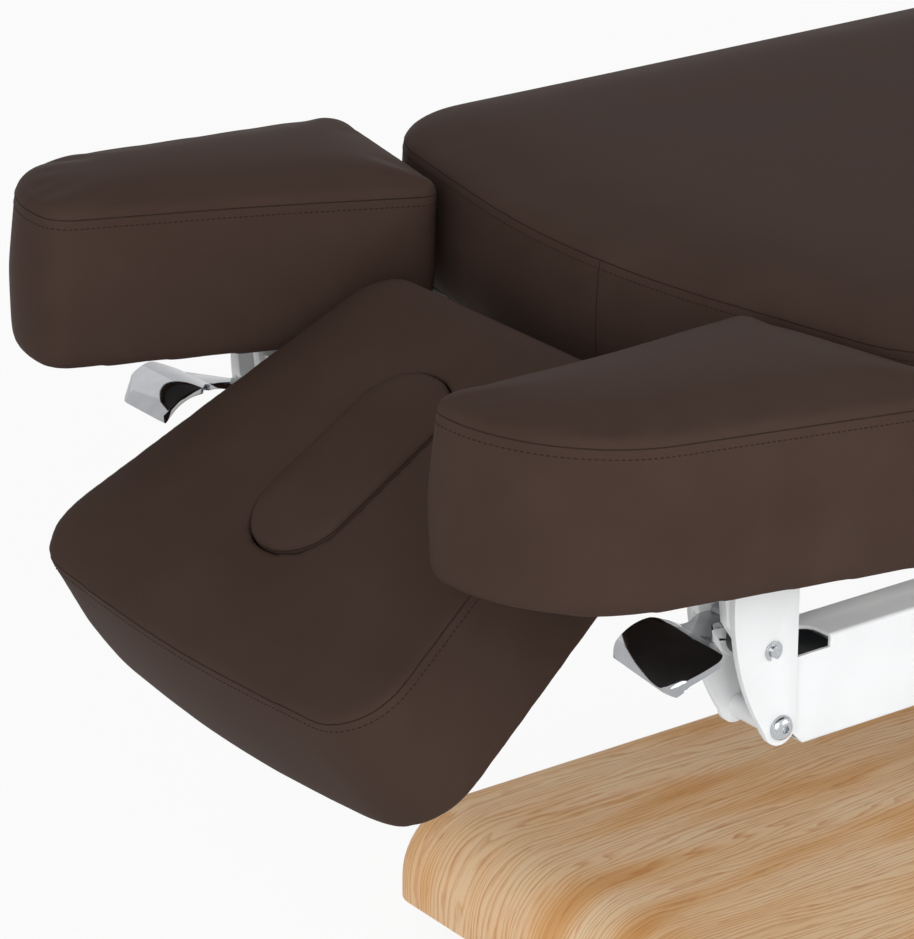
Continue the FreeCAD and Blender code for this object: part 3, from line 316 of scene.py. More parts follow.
@dataclass(frozen=True)
class MouldedPlastic:
    """Moulded plastic or rubber: one body colour under a fine spark texture."""

    name: str
    colour: str
    shade: str
    roughness: float
    spark_mm: float = 1.2
    spark_depth: float = 0.2 * MM

    def make(self) -> Material:
        """Builds the material.

        Returns:
            The material.
        """
        material, tree = blank_material(self.name)
        place = add_node(tree, "TexCoord").outputs["Object"]
        spark = add_node(tree, "TexNoise", {
            "Vector": place, "Scale": 1 / (self.spark_mm * MM), "Detail": 3.0})
        colour = ramp_between(tree, spark, (0.3, self.shade), (0.7, self.colour))
        skin = add_node(tree, "Bump", {"Strength": 0.25, "Distance": self.spark_depth, "Height": spark})
        shader = add_node(tree, "BsdfPrincipled", {
            "Base Color": colour, "Roughness": self.roughness, "IOR": 1.5, "Normal": skin})
        finish_surface(tree, shader)
        return material


@dataclass(frozen=True)
class StainedPlywood:
    """Dark stained plywood: near-black with faint streaks of the veneer along the table."""

    name: str = "stained_plywood"
    colour: str = "#2C221D"
    streak: str = "#1F1814"
    streak_mm: float = 9.0
    streak_depth: float = 0.3 * MM
    streak_stretch: float = 0.06
    roughness: float = 0.62

    def make(self) -> Material:
        """Builds the material.

        Returns:
            The material.
        """
        material, tree = blank_material(self.name)
        place = add_node(tree, "TexCoord").outputs["Object"]
        drawn = add_node(tree, "Mapping", {"Vector": place, "Scale": (self.streak_stretch, 1.0, 1.0)})
        streaks = add_node(tree, "TexNoise", {
            "Vector": drawn, "Scale": 1 / (self.streak_mm * MM), "Detail": 5.0})
        colour = ramp_between(tree, streaks, (0.35, self.streak), (0.6, self.colour))
        skin = add_node(tree, "Bump", {"Strength": 0.15, "Distance": self.streak_depth, "Height": streaks})
        shader = add_node(tree, "BsdfPrincipled", {
            "Base Color": colour, "Roughness": self.roughness, "IOR": 1.5, "Normal": skin})
        finish_surface(tree, shader)
        return material


@dataclass(frozen=True)
class OakVeneer:
    """Flat-sawn oak veneer under matt lacquer: flame figure, growth lines and open pores along the grain.

    It reads the map "grain": along the fibres and across them, in metres on the rolled sheet. Fields that
    end in shift say by how many growth lines a pattern moves the figure, and those that end in stretch how
    fast it changes along the fibres against across them.
    """

    name: str = "oak_veneer"
    early: str = "#FBDDB6"
    middle: str = "#F7CFA2"
    late: str = "#CC720E"
    golden: str = "#F0C08A"
    flame: str = "#E5AC70"
    pore: str = "#BC6A1E"
    ring_mm: float = 5.0
    band_mm: float = 26.0
    flame_mm: float = 150.0
    fibre_mm: float = 3.2
    patch_mm: float = 45.0
    pore_mm: float = 1.1
    pore_depth: float = 0.3 * MM
    flame_shift: float = 26.0
    band_shift: float = 6.0
    fibre_shift: float = 0.55
    flame_stretch: float = 0.2
    fibre_stretch: float = 0.02
    band_stretch: float = 0.03
    pore_stretch: float = 0.045
    line_profile: tuple[tuple[float, float], ...] = ((0.35, 0.0), (0.84, 0.62), (0.97, 0.0))
    pore_levels: tuple[float, float] = (0.68, 0.56)
    pore_share: float = 0.35
    roughness: float = 0.55
    specular: float = 0.08

    def make(self) -> Material:
        """Builds the material. Growth lines are contours of a slow noise, which closes some into flames.

        Returns:
            The material.
        """
        material, tree = blank_material(self.name)
        sheet = add_node(tree, "UVMap", uv_map="grain").outputs["UV"]
        across = add_node(tree, "SeparateXYZ", {"Vector": sheet}).outputs["Y"]
        slow = add_node(tree, "Mapping", {"Vector": sheet, "Scale": (self.flame_stretch, 1.0, 1.0)})
        flame = add_node(tree, "TexNoise", {
            "Vector": slow, "Scale": 1 / (self.flame_mm * MM), "Detail": 5.0, "Roughness": 0.5})
        thin = add_node(tree, "Mapping", {"Vector": sheet, "Scale": (self.fibre_stretch, 1.0, 1.0)})
        fibre = add_node(tree, "TexNoise", {
            "Vector": thin, "Scale": 1 / (self.fibre_mm * MM), "Detail": 4.0, "Roughness": 0.65})
        lean = add_node(tree, "Math", {0: across, 1: 1 / (self.ring_mm * MM)}, operation="MULTIPLY")
        bulge = add_node(tree, "Math", {0: flame, 1: self.flame_shift, 2: lean}, operation="MULTIPLY_ADD")
        even = add_node(tree, "Mapping", {"Vector": sheet, "Scale": (self.band_stretch, 1.0, 1.0)})
        years = add_node(tree, "TexNoise", {"Vector": even, "Scale": 1 / (self.band_mm * MM), "Detail": 1.0})
        uneven = add_node(tree, "Math", {0: years, 1: self.band_shift, 2: bulge}, operation="MULTIPLY_ADD")
        field = add_node(tree, "Math", {0: fibre, 1: self.fibre_shift, 2: uneven}, operation="MULTIPLY_ADD")
        ring = add_node(tree, "Math", {0: field}, operation="FRACT")
        patch = add_node(tree, "TexNoise", {
            "Vector": slow, "Scale": 1 / (self.patch_mm * MM), "Detail": 2.0})
        ground = ramp_between(tree, patch, (0.34, self.early), (0.52, self.middle),
                              (0.6, self.golden), (0.7, self.flame))
        line = add_node(tree, "ValToRGB", {"Fac": ring})
        for place, grey in self.line_profile:
            stop = line.color_ramp.elements.new(place)
            stop.color = (grey, grey, grey, 1.0)
        line.color_ramp.elements[-1].color = (0.0, 0.0, 0.0, 1.0)
        weight = add_node(tree, "MapRange", {
            "Value": fibre, "From Min": 0.3, "From Max": 0.68, "To Min": 0.25, "To Max": 1.0})
        drawn = add_node(tree, "Math", {0: line, 1: weight}, operation="MULTIPLY")
        wood = add_node(tree, "Mix", {
            "Factor": drawn, "A": ground, "B": linear(self.late)}, data_type="RGBA")
        short = add_node(tree, "Mapping", {"Vector": sheet, "Scale": (self.pore_stretch, 1.0, 1.0)})
        dashes = add_node(tree, "TexNoise", {
            "Vector": short, "Scale": 1 / (self.pore_mm * MM), "Detail": 1.0})
        level = add_node(tree, "MapRange", {
            "Value": line, "To Min": self.pore_levels[0], "To Max": self.pore_levels[1]})
        open_pore = add_node(tree, "Math", {0: dashes, 1: level}, operation="GREATER_THAN")
        share = add_node(tree, "Math", {0: open_pore, 1: self.pore_share}, operation="MULTIPLY")
        colour = add_node(tree, "Mix", {
            "Factor": share, "A": wood.outputs["Result"], "B": linear(self.pore)}, data_type="RGBA")
        skin = add_node(tree, "Bump", {
            "Strength": 0.1, "Distance": self.pore_depth, "Height": open_pore}, invert=True)
        shader = add_node(tree, "BsdfPrincipled", {
            "Base Color": colour.outputs["Result"], "Roughness": self.roughness, "IOR": 1.5,
            "Specular IOR Level": self.specular, "Normal": skin})
        finish_surface(tree, shader)
        return material


FINISHES = {
    Slot.UPHOLSTERY: SyntheticLeather(),
    Slot.PLYWOOD: StainedPlywood(),
    Slot.OAK: OakVeneer(),
    Slot.WHITE_STEEL: PowderCoat("white_powder_coat", "#ECEDEE", "#E8E9EA"),
    Slot.GREY_STEEL: PowderCoat("grey_powder_coat", "#3B3D3F", "#353739", roughness=0.5),
    Slot.CHROME: PlatedMetal("polished_chrome", "#A9ABAE", "#A1A3A6", roughness=0.04,
                             spread=0.05, mark_mm=14.0, mark_depth=0.1 * MM),
    Slot.ZINC_STEEL: PlatedMetal("bright_zinc_plate", "#C4C7CA", "#B6B9BC", roughness=0.2,
                                 spread=0.06, mark_mm=1.5, mark_depth=0.1 * MM),
    Slot.CAST_ALUMINIUM: PlatedMetal("cast_aluminium", "#A9ABAD", "#8F9193", roughness=0.45,
                                     spread=0.15, mark_mm=1.8, mark_depth=0.5 * MM),
    Slot.NYLON: MouldedPlastic("natural_nylon", "#DCDAD2", "#D2D0C7", roughness=0.45),
    Slot.BLACK_PLASTIC: MouldedPlastic("black_abs", "#232427", "#1C1D1F", roughness=0.5),
    Slot.RUBBER: MouldedPlastic("black_rubber", "#1D1D1E", "#161617", roughness=0.75),
}


class Palette:
    """Materials by finish, each made once."""

    def __init__(self) -> None:
        """Starts with the thread alone."""
        self._made: dict[Slot, Material] = {}
        self.thread = SewnThread().make()

    def __getitem__(self, slot: Slot) -> Material:
        """The material of a finish.

        Args:
            slot: the finish.

        Returns:
            Its material.
        """
        if slot not in self._made:
            self._made[slot] = FINISHES[slot].make()
        return self._made[slot]


# Mesh helpers

def activate(piece: Object) -> None:
    """Selects one piece alone and makes it active.

    Args:
        piece: the piece to work on.
    """
    bpy.ops.object.select_all(action="DESELECT")
    piece.select_set(True)
    bpy.context.view_layer.objects.active = piece


def apply_modifier(piece: Object, kind: str, **settings: object) -> None:
    """Adds a modifier to a piece and applies it.

    Args:
        piece: the piece to change.
        kind: the modifier's type.
        settings: attributes of the modifier.
    """
    activate(piece)
    modifier = piece.modifiers.new(kind.lower(), kind)
    for name, value in settings.items():
        setattr(modifier, name, value)
    bpy.ops.object.modifier_apply(modifier=modifier.name)


def copy_solid(node: str, name: str) -> Object:
    """A merged copy of a solid of the frame, for shaping.

    Args:
        node: the solid's name.
        name: the new piece's name.

    Returns:
        The new piece, with no material.
    """
    mesh = frame["nodes"][node].data.copy()
    mesh.name = name
    mesh.materials.clear()
    piece = bpy.data.objects.new(name, mesh)
    bpy.context.scene.collection.objects.link(piece)
    activate(piece)
    if mesh.has_custom_normals:
        bpy.ops.mesh.customdata_custom_splitnormals_clear()
    bpy.ops.object.mode_set(mode="EDIT")
    bpy.ops.mesh.select_all(action="SELECT")
    bpy.ops.mesh.remove_doubles(threshold=MERGE_DISTANCE)
    bpy.ops.object.mode_set(mode="OBJECT")
    return piece


def eased_copy(node: str, name: str, width: float) -> Object:
    """A copy of a rigid solid with small rounds on its edges.

    Args:
        node: the solid's name.
        name: the new piece's name.
        width: how wide the rounds are.

    Returns:
        The new piece, not yet shaded smooth.
    """
    piece = copy_solid(node, name)
    bpy.ops.object.mode_set(mode="EDIT")
    bpy.ops.mesh.select_all(action="SELECT")
    bpy.ops.mesh.dissolve_limited(angle_limit=FLAT_ANGLE)
    bpy.ops.object.mode_set(mode="OBJECT")
    apply_modifier(piece, "BEVEL", width=width, segments=3, limit_method="ANGLE", angle_limit=EDGE_ANGLE,
                   use_clamp_overlap=True)
    return piece


def dress(piece: Object, material: Material, body: str) -> None:
    """Gives a piece its material and its body.

    Args:
        piece: the finished piece.
        material: what it is made of.
        body: the moving body that carries it.
    """
    piece.data.materials.clear()
    piece.data.materials.append(material)
    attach(piece, body)
    log.info("%s on %s: %d faces", piece.name, body, len(piece.data.polygons))


def vertex_array(mesh: Mesh) -> np.ndarray:
    """A mesh's points as rows.

    Args:
        mesh: the mesh to read.

    Returns:
        One row of three coordinates for each point.
    """
    flat = np.zeros(len(mesh.vertices) * 3)
    mesh.vertices.foreach_get("co", flat)
    return flat.reshape(-1, 3)


def swept_line(name: str, points: np.ndarray, radius: float, closed: bool) -> Object:
    """A thin round strand along points.

    Args:
        name: the piece's name.
        points: places along its middle.
        radius: half its thickness.
        closed: whether its end meets its start.

    Returns:
        The strand as a mesh.
    """
    curve = bpy.data.curves.new(name, "CURVE")
    curve.dimensions = "3D"
    curve.bevel_depth = radius
    curve.bevel_resolution = 1
    spline = curve.splines.new("POLY")
    spline.points.add(len(points) - 1)
    spline.points.foreach_set("co", np.c_[points, np.ones(len(points))].ravel())
    spline.use_cyclic_u = closed
    strand = bpy.data.objects.new(name, curve)
    bpy.context.scene.collection.objects.link(strand)
    activate(strand)
    bpy.ops.object.convert(target="MESH")
    bpy.ops.object.shade_smooth()
    return strand


def spaced(points: np.ndarray, step: float, closed: bool) -> np.ndarray:
    """Points at an even step along a line.

    Args:
        points: the line's corners.
        step: the wanted distance.
        closed: whether the line returns to its start.

    Returns:
        The evenly spaced points.
    """
    line = np.vstack([points, points[:1]]) if closed else points
    run = np.r_[0, np.cumsum(np.linalg.norm(np.diff(line, axis=0), axis=1))]
    count = max(2, round(run[-1] / step))
    places = np.linspace(0, run[-1], count, endpoint=not closed)
    return np.c_[[np.interp(places, run, line[:, i]) for i in range(3)]].T


def fade(distance: np.ndarray, reach: float, full: float) -> np.ndarray:
    """A weight that is one near a place and falls to zero over one reach.

    Args:
        distance: how far each point is from the place.
        reach: the distance over which the weight falls.
        full: how many reaches the weight stays at one.

    Returns:
        A weight from 0 to 1 for each point.
    """
    return np.clip(1 + full - distance / reach, 0, 1)


# Upholstery

@dataclass(frozen=True)
class CoverCloth:
    """How a cover behaves while the foam presses it out, and how often it is smoothed afterwards."""

    quality: int = 4
    mass: float = 0.4
    bending: float = 8.0
    pressure: float = 4.0
    frames: int = 20
    rounds: int = 10


@dataclass(frozen=True)
class Flare:
    """How the foot of a pad's free end bows outward, or is drawn in where the amount is below zero.

    It starts at a place along the pad, grows over its reach, and fades out at half the bow's width from the
    middle. A higher power keeps it nearer to the base.
    """

    amount: float
    start: float
    half: float
    power: float = 1.0
    reach: float = 70 * MM
    cuts: int = 3


@dataclass(frozen=True)
class FaceHole:
    """The long hole for the face: its middle along the pad, half its length and half its width."""

    centre: float
    half_length: float
    half_width: float


@dataclass
class Cushion:
    """A foam pad in a leather cover: top panel, border, the seam between them and its topstitch.

    The seam is a height in the pad's own level frame, and the depth runs from there down to the base. The
    cover may move by the swell at its sides and by the crown on top.
    """

    name: str
    node: str
    body: str
    frame: Matrix
    seam: float
    depth: float
    voxel: float
    swell: float
    crown: float
    fill: float = 0.9
    foot_height: float = 22 * MM
    foot_rounds: int = 18
    loose_rounds: int = 5
    sag: float = 0.0
    sag_share: float = 0.6
    base_height: float = 16 * MM
    hole_margin: float = 14 * MM
    seam_band: float = 0.05 * MM
    seam_step: float = 3 * MM
    seam_hold: float = 0.9
    seam_reach: float = 3.0
    seam_radius: float = 0.6 * MM
    seam_sink: float = 0.25 * MM
    stitch_drop: float = 6.5 * MM
    stitch_pitch: float = 4.2 * MM
    stitch_length: float = 2.9 * MM
    stitch_radius: float = 0.45 * MM
    hole: FaceHole | None = None
    flare: Flare | None = None
    border_seams: tuple[tuple[float, float], ...] = ()
    border_share: float = 0.86
    border_points: int = 24
    cloth: CoverCloth = CoverCloth()

    def build(self, palette: Palette) -> None:
        """Makes the pad, its seams and its stitches.

        Args:
            palette: the table's materials.
        """
        pad = copy_solid(self.node, self.name)
        loop = self.seam_loop(pad)
        self.soften(pad, loop)
        self.inflate(pad)
        apply_modifier(pad, "SUBSURF", levels=1, render_levels=1)
        activate(pad)
        bpy.ops.object.shade_smooth()
        dress(pad, palette[Slot.UPHOLSTERY], self.body)
        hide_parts(self.node)
        self.sew(pad, loop, palette)

    def level(self, points: np.ndarray) -> np.ndarray:
        """Points in the pad's own level frame."""
        inverse = np.array(self.frame.inverted())
        return points @ inverse[:3, :3].T + inverse[:3, 3]

    def world(self, points: np.ndarray) -> np.ndarray:
        """Points of the pad's own frame in the table's frame."""
        matrix = np.array(self.frame)
        return points @ matrix[:3, :3].T + matrix[:3, 3]

    def above_base(self, points: np.ndarray) -> np.ndarray:
        """Heights over the pad's base, for points in its own frame."""
        return points[:, 2] - self.seam + self.depth

    def seam_loop(self, pad: Object) -> np.ndarray:
        """The line where the top panel meets the border, in the pad's own frame.

        Args:
            pad: the merged copy of the solid.

        Returns:
            Evenly spaced points, in order round the pad.
        """
        points = self.level(vertex_array(pad.data))
        ring = points[np.abs(points[:, 2] - self.seam) < self.seam_band]
        middle = ring.mean(axis=0)
        order = np.argsort(np.arctan2(ring[:, 1] - middle[1], ring[:, 0] - middle[0]))
        return spaced(ring[order], self.seam_step, True)

    def soften(self, pad: Object, loop: np.ndarray) -> None:
        """Turns the solid into an even cloth of small faces and takes its hard creases out.

        Args:
            pad: the merged copy of the solid.
            loop: its seam.
        """
        if self.flare:
            self.spread(pad)
        pad.data.remesh_voxel_size = self.voxel
        pad.data.remesh_voxel_adaptivity = 0.0
        activate(pad)
        bpy.ops.object.voxel_remesh()
        points = self.level(vertex_array(pad.data))
        held = self.held(points, loop)
        points[:, 2] -= self.sag * fade(self.above_base(points), self.sag_share * self.depth, 0.0)
        pad.data.vertices.foreach_set("co", self.world(points).ravel())
        foot = fade(self.above_base(points), self.foot_height, 0.6)
        for name, weights in (("held", held), ("loose", 1 - held), ("foot", foot)):
            group = pad.vertex_groups.new(name=name)
            for row, weight in enumerate(weights):
                group.add([row], float(weight), "REPLACE")
        apply_modifier(pad, "SMOOTH", factor=0.5, iterations=self.foot_rounds, vertex_group="foot")
        apply_modifier(pad, "SMOOTH", factor=0.5, iterations=self.loose_rounds, vertex_group="loose")
        apply_modifier(pad, "SMOOTH", factor=0.5, iterations=1)

    def spread(self, pad: Object) -> None:
        """Bows the foot of the free end outward, as the thick foam pushes it, or draws it in.

        Args:
            pad: the merged copy of the solid.
        """
        flare = self.flare
        activate(pad)
        bpy.ops.object.mode_set(mode="EDIT")
        bpy.ops.mesh.select_all(action="SELECT")
        bpy.ops.mesh.subdivide(number_cuts=flare.cuts)
        bpy.ops.object.mode_set(mode="OBJECT")
        points = self.level(vertex_array(pad.data))
        near_end = np.clip((flare.start - points[:, 0]) / flare.reach, 0, 1)
        low = np.clip((self.seam - points[:, 2]) / self.depth, 0, 1)
        bow = np.clip(1 - (points[:, 1] / flare.half) ** 2, 0, 1)
        points[:, 0] -= flare.amount * near_end * low ** flare.power * bow
        pad.data.vertices.foreach_set("co", self.world(points).ravel())
        pad.data.update()

    def held(self, points: np.ndarray, loop: np.ndarray) -> np.ndarray:
        """How firmly each point is held: fully on the seam, the base and the walls of a hole.

        Args:
            points: the cloth's points, in the pad's own frame.
            loop: the seam.

        Returns:
            A weight from 0, free, to 1, held, for each point.
        """
        reach = self.seam_reach * self.voxel
        after = np.roll(np.arange(len(loop)), -1).tolist()
        strips = [(row, ahead, ahead) for row, ahead in enumerate(after)]
        seam = BVHTree.FromPolygons([Vector(p) for p in loop], strips)
        found = [seam.find_nearest(Vector(p), reach) for p in points]
        near = np.array([reach if place is None else distance for place, _, _, distance in found])
        weight = self.seam_hold * fade(near, reach, 0.0) ** 1.5
        weight = np.maximum(weight, fade(self.above_base(points), self.base_height, 0.3))
        if self.hole:
            straight = self.hole.half_length - self.hole.half_width
            along = np.maximum(np.abs(points[:, 0] - self.hole.centre) - straight, 0)
            off = np.hypot(along, points[:, 1]) - self.hole.half_width
            weight = np.maximum(weight, fade(off, self.hole_margin, 0.4))
        return weight

    def inflate(self, pad: Object) -> None:
        """Lets the foam press the cover out by cloth simulation, with its movement capped.

        Args:
            pad: the softened pad.
        """
        start = vertex_array(pad.data)
        cloth = pad.modifiers.new("cover", "CLOTH")
        cloth.settings.quality = self.cloth.quality
        cloth.settings.mass = self.cloth.mass
        cloth.settings.bending_stiffness = self.cloth.bending
        cloth.settings.use_pressure = True
        cloth.settings.uniform_pressure_force = self.cloth.pressure
        cloth.settings.effector_weights.gravity = 0.0
        cloth.settings.vertex_group_mass = "held"
        cloth.collision_settings.use_collision = False
        cloth.point_cache.frame_start = 1
        cloth.point_cache.frame_end = self.cloth.frames
        scene = bpy.context.scene
        for step in range(1, self.cloth.frames + 1):
            scene.frame_set(step)
        shaped = pad.evaluated_get(bpy.context.evaluated_depsgraph_get()).to_mesh()
        moved = vertex_array(shaped) - start
        pad.modifiers.remove(cloth)
        scene.frame_set(1)
        normals = np.zeros(len(start) * 3)
        pad.data.vertices.foreach_get("normal", normals)
        upward = np.clip(normals.reshape(-1, 3) @ np.array(self.frame)[:3, 2], 0, 1)[:, None]
        limit = self.swell + (self.crown - self.swell) * upward
        travel = np.linalg.norm(moved, axis=1, keepdims=True)
        log.info("%s: cover pressed out up to %.1f mm before its cap", self.name, float(travel.max()) / MM)
        capped = limit * np.tanh(travel / limit)
        final = start + moved * capped / np.maximum(travel, 1e-9)
        pad.data.vertices.foreach_set("co", final.ravel())
        pad.data.update()
        apply_modifier(pad, "SMOOTH", factor=0.5, iterations=self.cloth.rounds, vertex_group="loose")

    def sew(self, pad: Object, loop: np.ndarray, palette: Palette) -> None:
        """Lays the seam, its topstitch and any upright border seams on the finished cover.

        Args:
            pad: the finished pad.
            loop: the seam, in the pad's own frame.
            palette: the table's materials.
        """
        depsgraph = bpy.context.evaluated_depsgraph_get()
        cover = BVHTree.FromObject(pad, depsgraph)
        lines = [(self.on_cover(cover, self.world(loop)), True)]
        for x, y in self.border_seams:
            nearest = loop[np.argmin(np.hypot(loop[:, 0] - x, loop[:, 1] - y))]
            drop = np.linspace(0, self.border_share * self.depth, self.border_points)
            lines.append((self.on_cover(cover, self.world(nearest - np.outer(drop, (0, 0, 1)))), False))
        strands = []
        for row, ((points, normals), closed) in enumerate(lines):
            middle = points - normals * self.seam_sink
            strands.append(swept_line(f"{self.name}_seam_{row}", middle, self.seam_radius, closed))
        activate(strands[0])
        for strand in strands[1:]:
            strand.select_set(True)
        bpy.ops.object.join()
        strands[0].name = f"{self.name}_seam"
        dress(strands[0], palette.thread, self.body)
        lowered = spaced(loop - np.array((0, 0, self.stitch_drop)), self.stitch_pitch, True)
        points, normals = self.on_cover(cover, self.world(lowered))
        self.stitches(points, normals, palette)

    def on_cover(self, cover: BVHTree, points: np.ndarray) -> tuple[np.ndarray, np.ndarray]:
        """The nearest places on the cover, with its outward directions there.

        Args:
            cover: the finished cover.
            points: places near it.

        Returns:
            The places on the cover and its outward directions, as rows.
        """
        found = [cover.find_nearest(Vector(p)) for p in points]
        return np.array([f[0] for f in found]), np.array([f[1] for f in found])

    def stitches(self, points: np.ndarray, normals: np.ndarray, palette: Palette) -> None:
        """Copies one short stitch to every place along the seam.

        Args:
            points: the middle of each stitch.
            normals: the cover's outward direction there.
            palette: the table's materials.
        """
        bpy.ops.object.select_all(action="DESELECT")
        bpy.ops.mesh.primitive_uv_sphere_add(segments=6, ring_count=4, radius=1.0)
        model = bpy.context.object
        shape = vertex_array(model.data)[:, [2, 1, 0]]
        faces = [tuple(p.vertices)[::-1] for p in model.data.polygons]
        bpy.data.objects.remove(model)
        shape *= (self.stitch_length / 2, self.stitch_radius, self.stitch_radius)
        ahead = np.roll(points, -1, axis=0) - np.roll(points, 1, axis=0)
        ahead /= np.linalg.norm(ahead, axis=1, keepdims=True)
        side = np.cross(normals, ahead)
        rows = [points[:, None] + shape[None, :, i:i + 1] * axis[:, None]
                for i, axis in enumerate((ahead, side, normals))]
        places = rows[0] + rows[1] + rows[2] - 2 * points[:, None]
        count = len(shape)
        mesh = bpy.data.meshes.new(f"{self.name}_stitches")
        copies = [tuple(v + count * row for v in face) for row in range(len(points)) for face in faces]
        mesh.from_pydata(places.reshape(-1, 3), [], copies)
        thread = bpy.data.objects.new(mesh.name, mesh)
        bpy.context.scene.collection.objects.link(thread)
        activate(thread)
        bpy.ops.object.shade_smooth()
        dress(thread, palette.thread, self.body)


@dataclass
class Upholstery:
    """All the pads of the table."""

    deck_seam: float = 644 * MM
    deck_depth: float = 101 * MM
    headrest_hinge: tuple[float, float, float] = (-597 * MM, 0.0, 531.6 * MM)
    headrest_tilt: float = 32.0
    armrest_origin: tuple[float, float, float] = (-609.4 * MM, 0.0, 650.6 * MM)
    armrest_pitch: float = 4.5

    def build(self, palette: Palette) -> None:
        """Makes every pad.

        Args:
            palette: the table's materials.
        """
        tilt = Matrix.Rotation(math.radians(-self.headrest_tilt), 4, "Y")
        pitch = Matrix.Rotation(math.radians(self.armrest_pitch), 4, "Y")
        rest = Matrix.Translation(self.headrest_hinge) @ tilt
        arm = Matrix.Translation(self.armrest_origin) @ pitch
        pads = [
            Cushion("mattress_pad", "mattress_cushion", "top", Matrix.Identity(4), self.deck_seam,
                    self.deck_depth, voxel=8 * MM, swell=2.5 * MM, crown=7 * MM,
                    border_seams=((-603 * MM, -20 * MM), (942 * MM, 0.0))),
            Cushion("headrest_pad", "headrest_cushion", "headrest", rest, seam=99.4 * MM, depth=113.5 * MM,
                    voxel=5 * MM, swell=7 * MM, crown=3 * MM, foot_rounds=44,
                    hole=FaceHole(-167.5 * MM, 85.5 * MM, 44 * MM),
                    flare=Flare(4 * MM, -250 * MM, 225 * MM)),
            Cushion("face_plug_pad", "face_plug_cushion", "face_plug", rest, seam=106.4 * MM, depth=56 * MM,
                    voxel=3 * MM, swell=0.4 * MM, crown=1.5 * MM, stitch_drop=4 * MM),
        ]
        for side, sign in (("left", 1), ("right", -1)):
            pads.append(Cushion(f"armrest_pad_{side}", f"armrest_{side}_cushion", f"armrest_{side}", arm,
                                seam=-10 * MM, depth=106.4 * MM, voxel=4 * MM, swell=6 * MM,
                                crown=10 * MM, sag=6 * MM,
                                flare=Flare(-9 * MM, -250 * MM, 2.0, power=2.2),
                                border_seams=((12 * MM, sign * 168 * MM),)))
        for pad in pads:
            pad.build(palette)


# Steel frame and wooden base

@dataclass
class SteelFrame:
    """Rails, forks, yokes, headrest arms and fasteners, their edges eased as their coats leave them."""

    edge: float = 0.9 * MM
    fine_edge: float = 0.35 * MM
    coated: tuple[str, ...] = ("side_rail_", "fork_plate_", "fork_spacers", "armrest_yoke_", "headrest_arm_",
                               "headrest_lugs")
    bright: tuple[str, ...] = ("fork_bolts", "fork_nuts", "armrest_pivot_pins", "pivot_circlips")

    def build(self, palette: Palette) -> None:
        """Replaces the shown steel pieces with eased copies.

        Args:
            palette: the table's materials.
        """
        for row in frame["record"]["subparts"]:
            node = row["node"]
            slot = Slot(row["material_slot"])
            if node.startswith(self.coated):
                self.ease(node, self.edge, slot, palette)
            elif node.startswith(self.bright):
                self.ease(node, self.fine_edge, slot, palette)

    def ease(self, node: str, width: float, slot: Slot, palette: Palette) -> None:
        """Puts an eased copy in a solid's place.

        Args:
            node: the solid's name.
            width: how wide the rounds are.
            slot: the finish in the record.
            palette: the table's materials.
        """
        piece = eased_copy(node, f"{node}_eased", width)
        bpy.ops.object.shade_smooth_by_angle(angle=SMOOTH_ANGLE)
        dress(piece, palette[slot], frame["nodes"][node]["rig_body"])
        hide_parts(node)


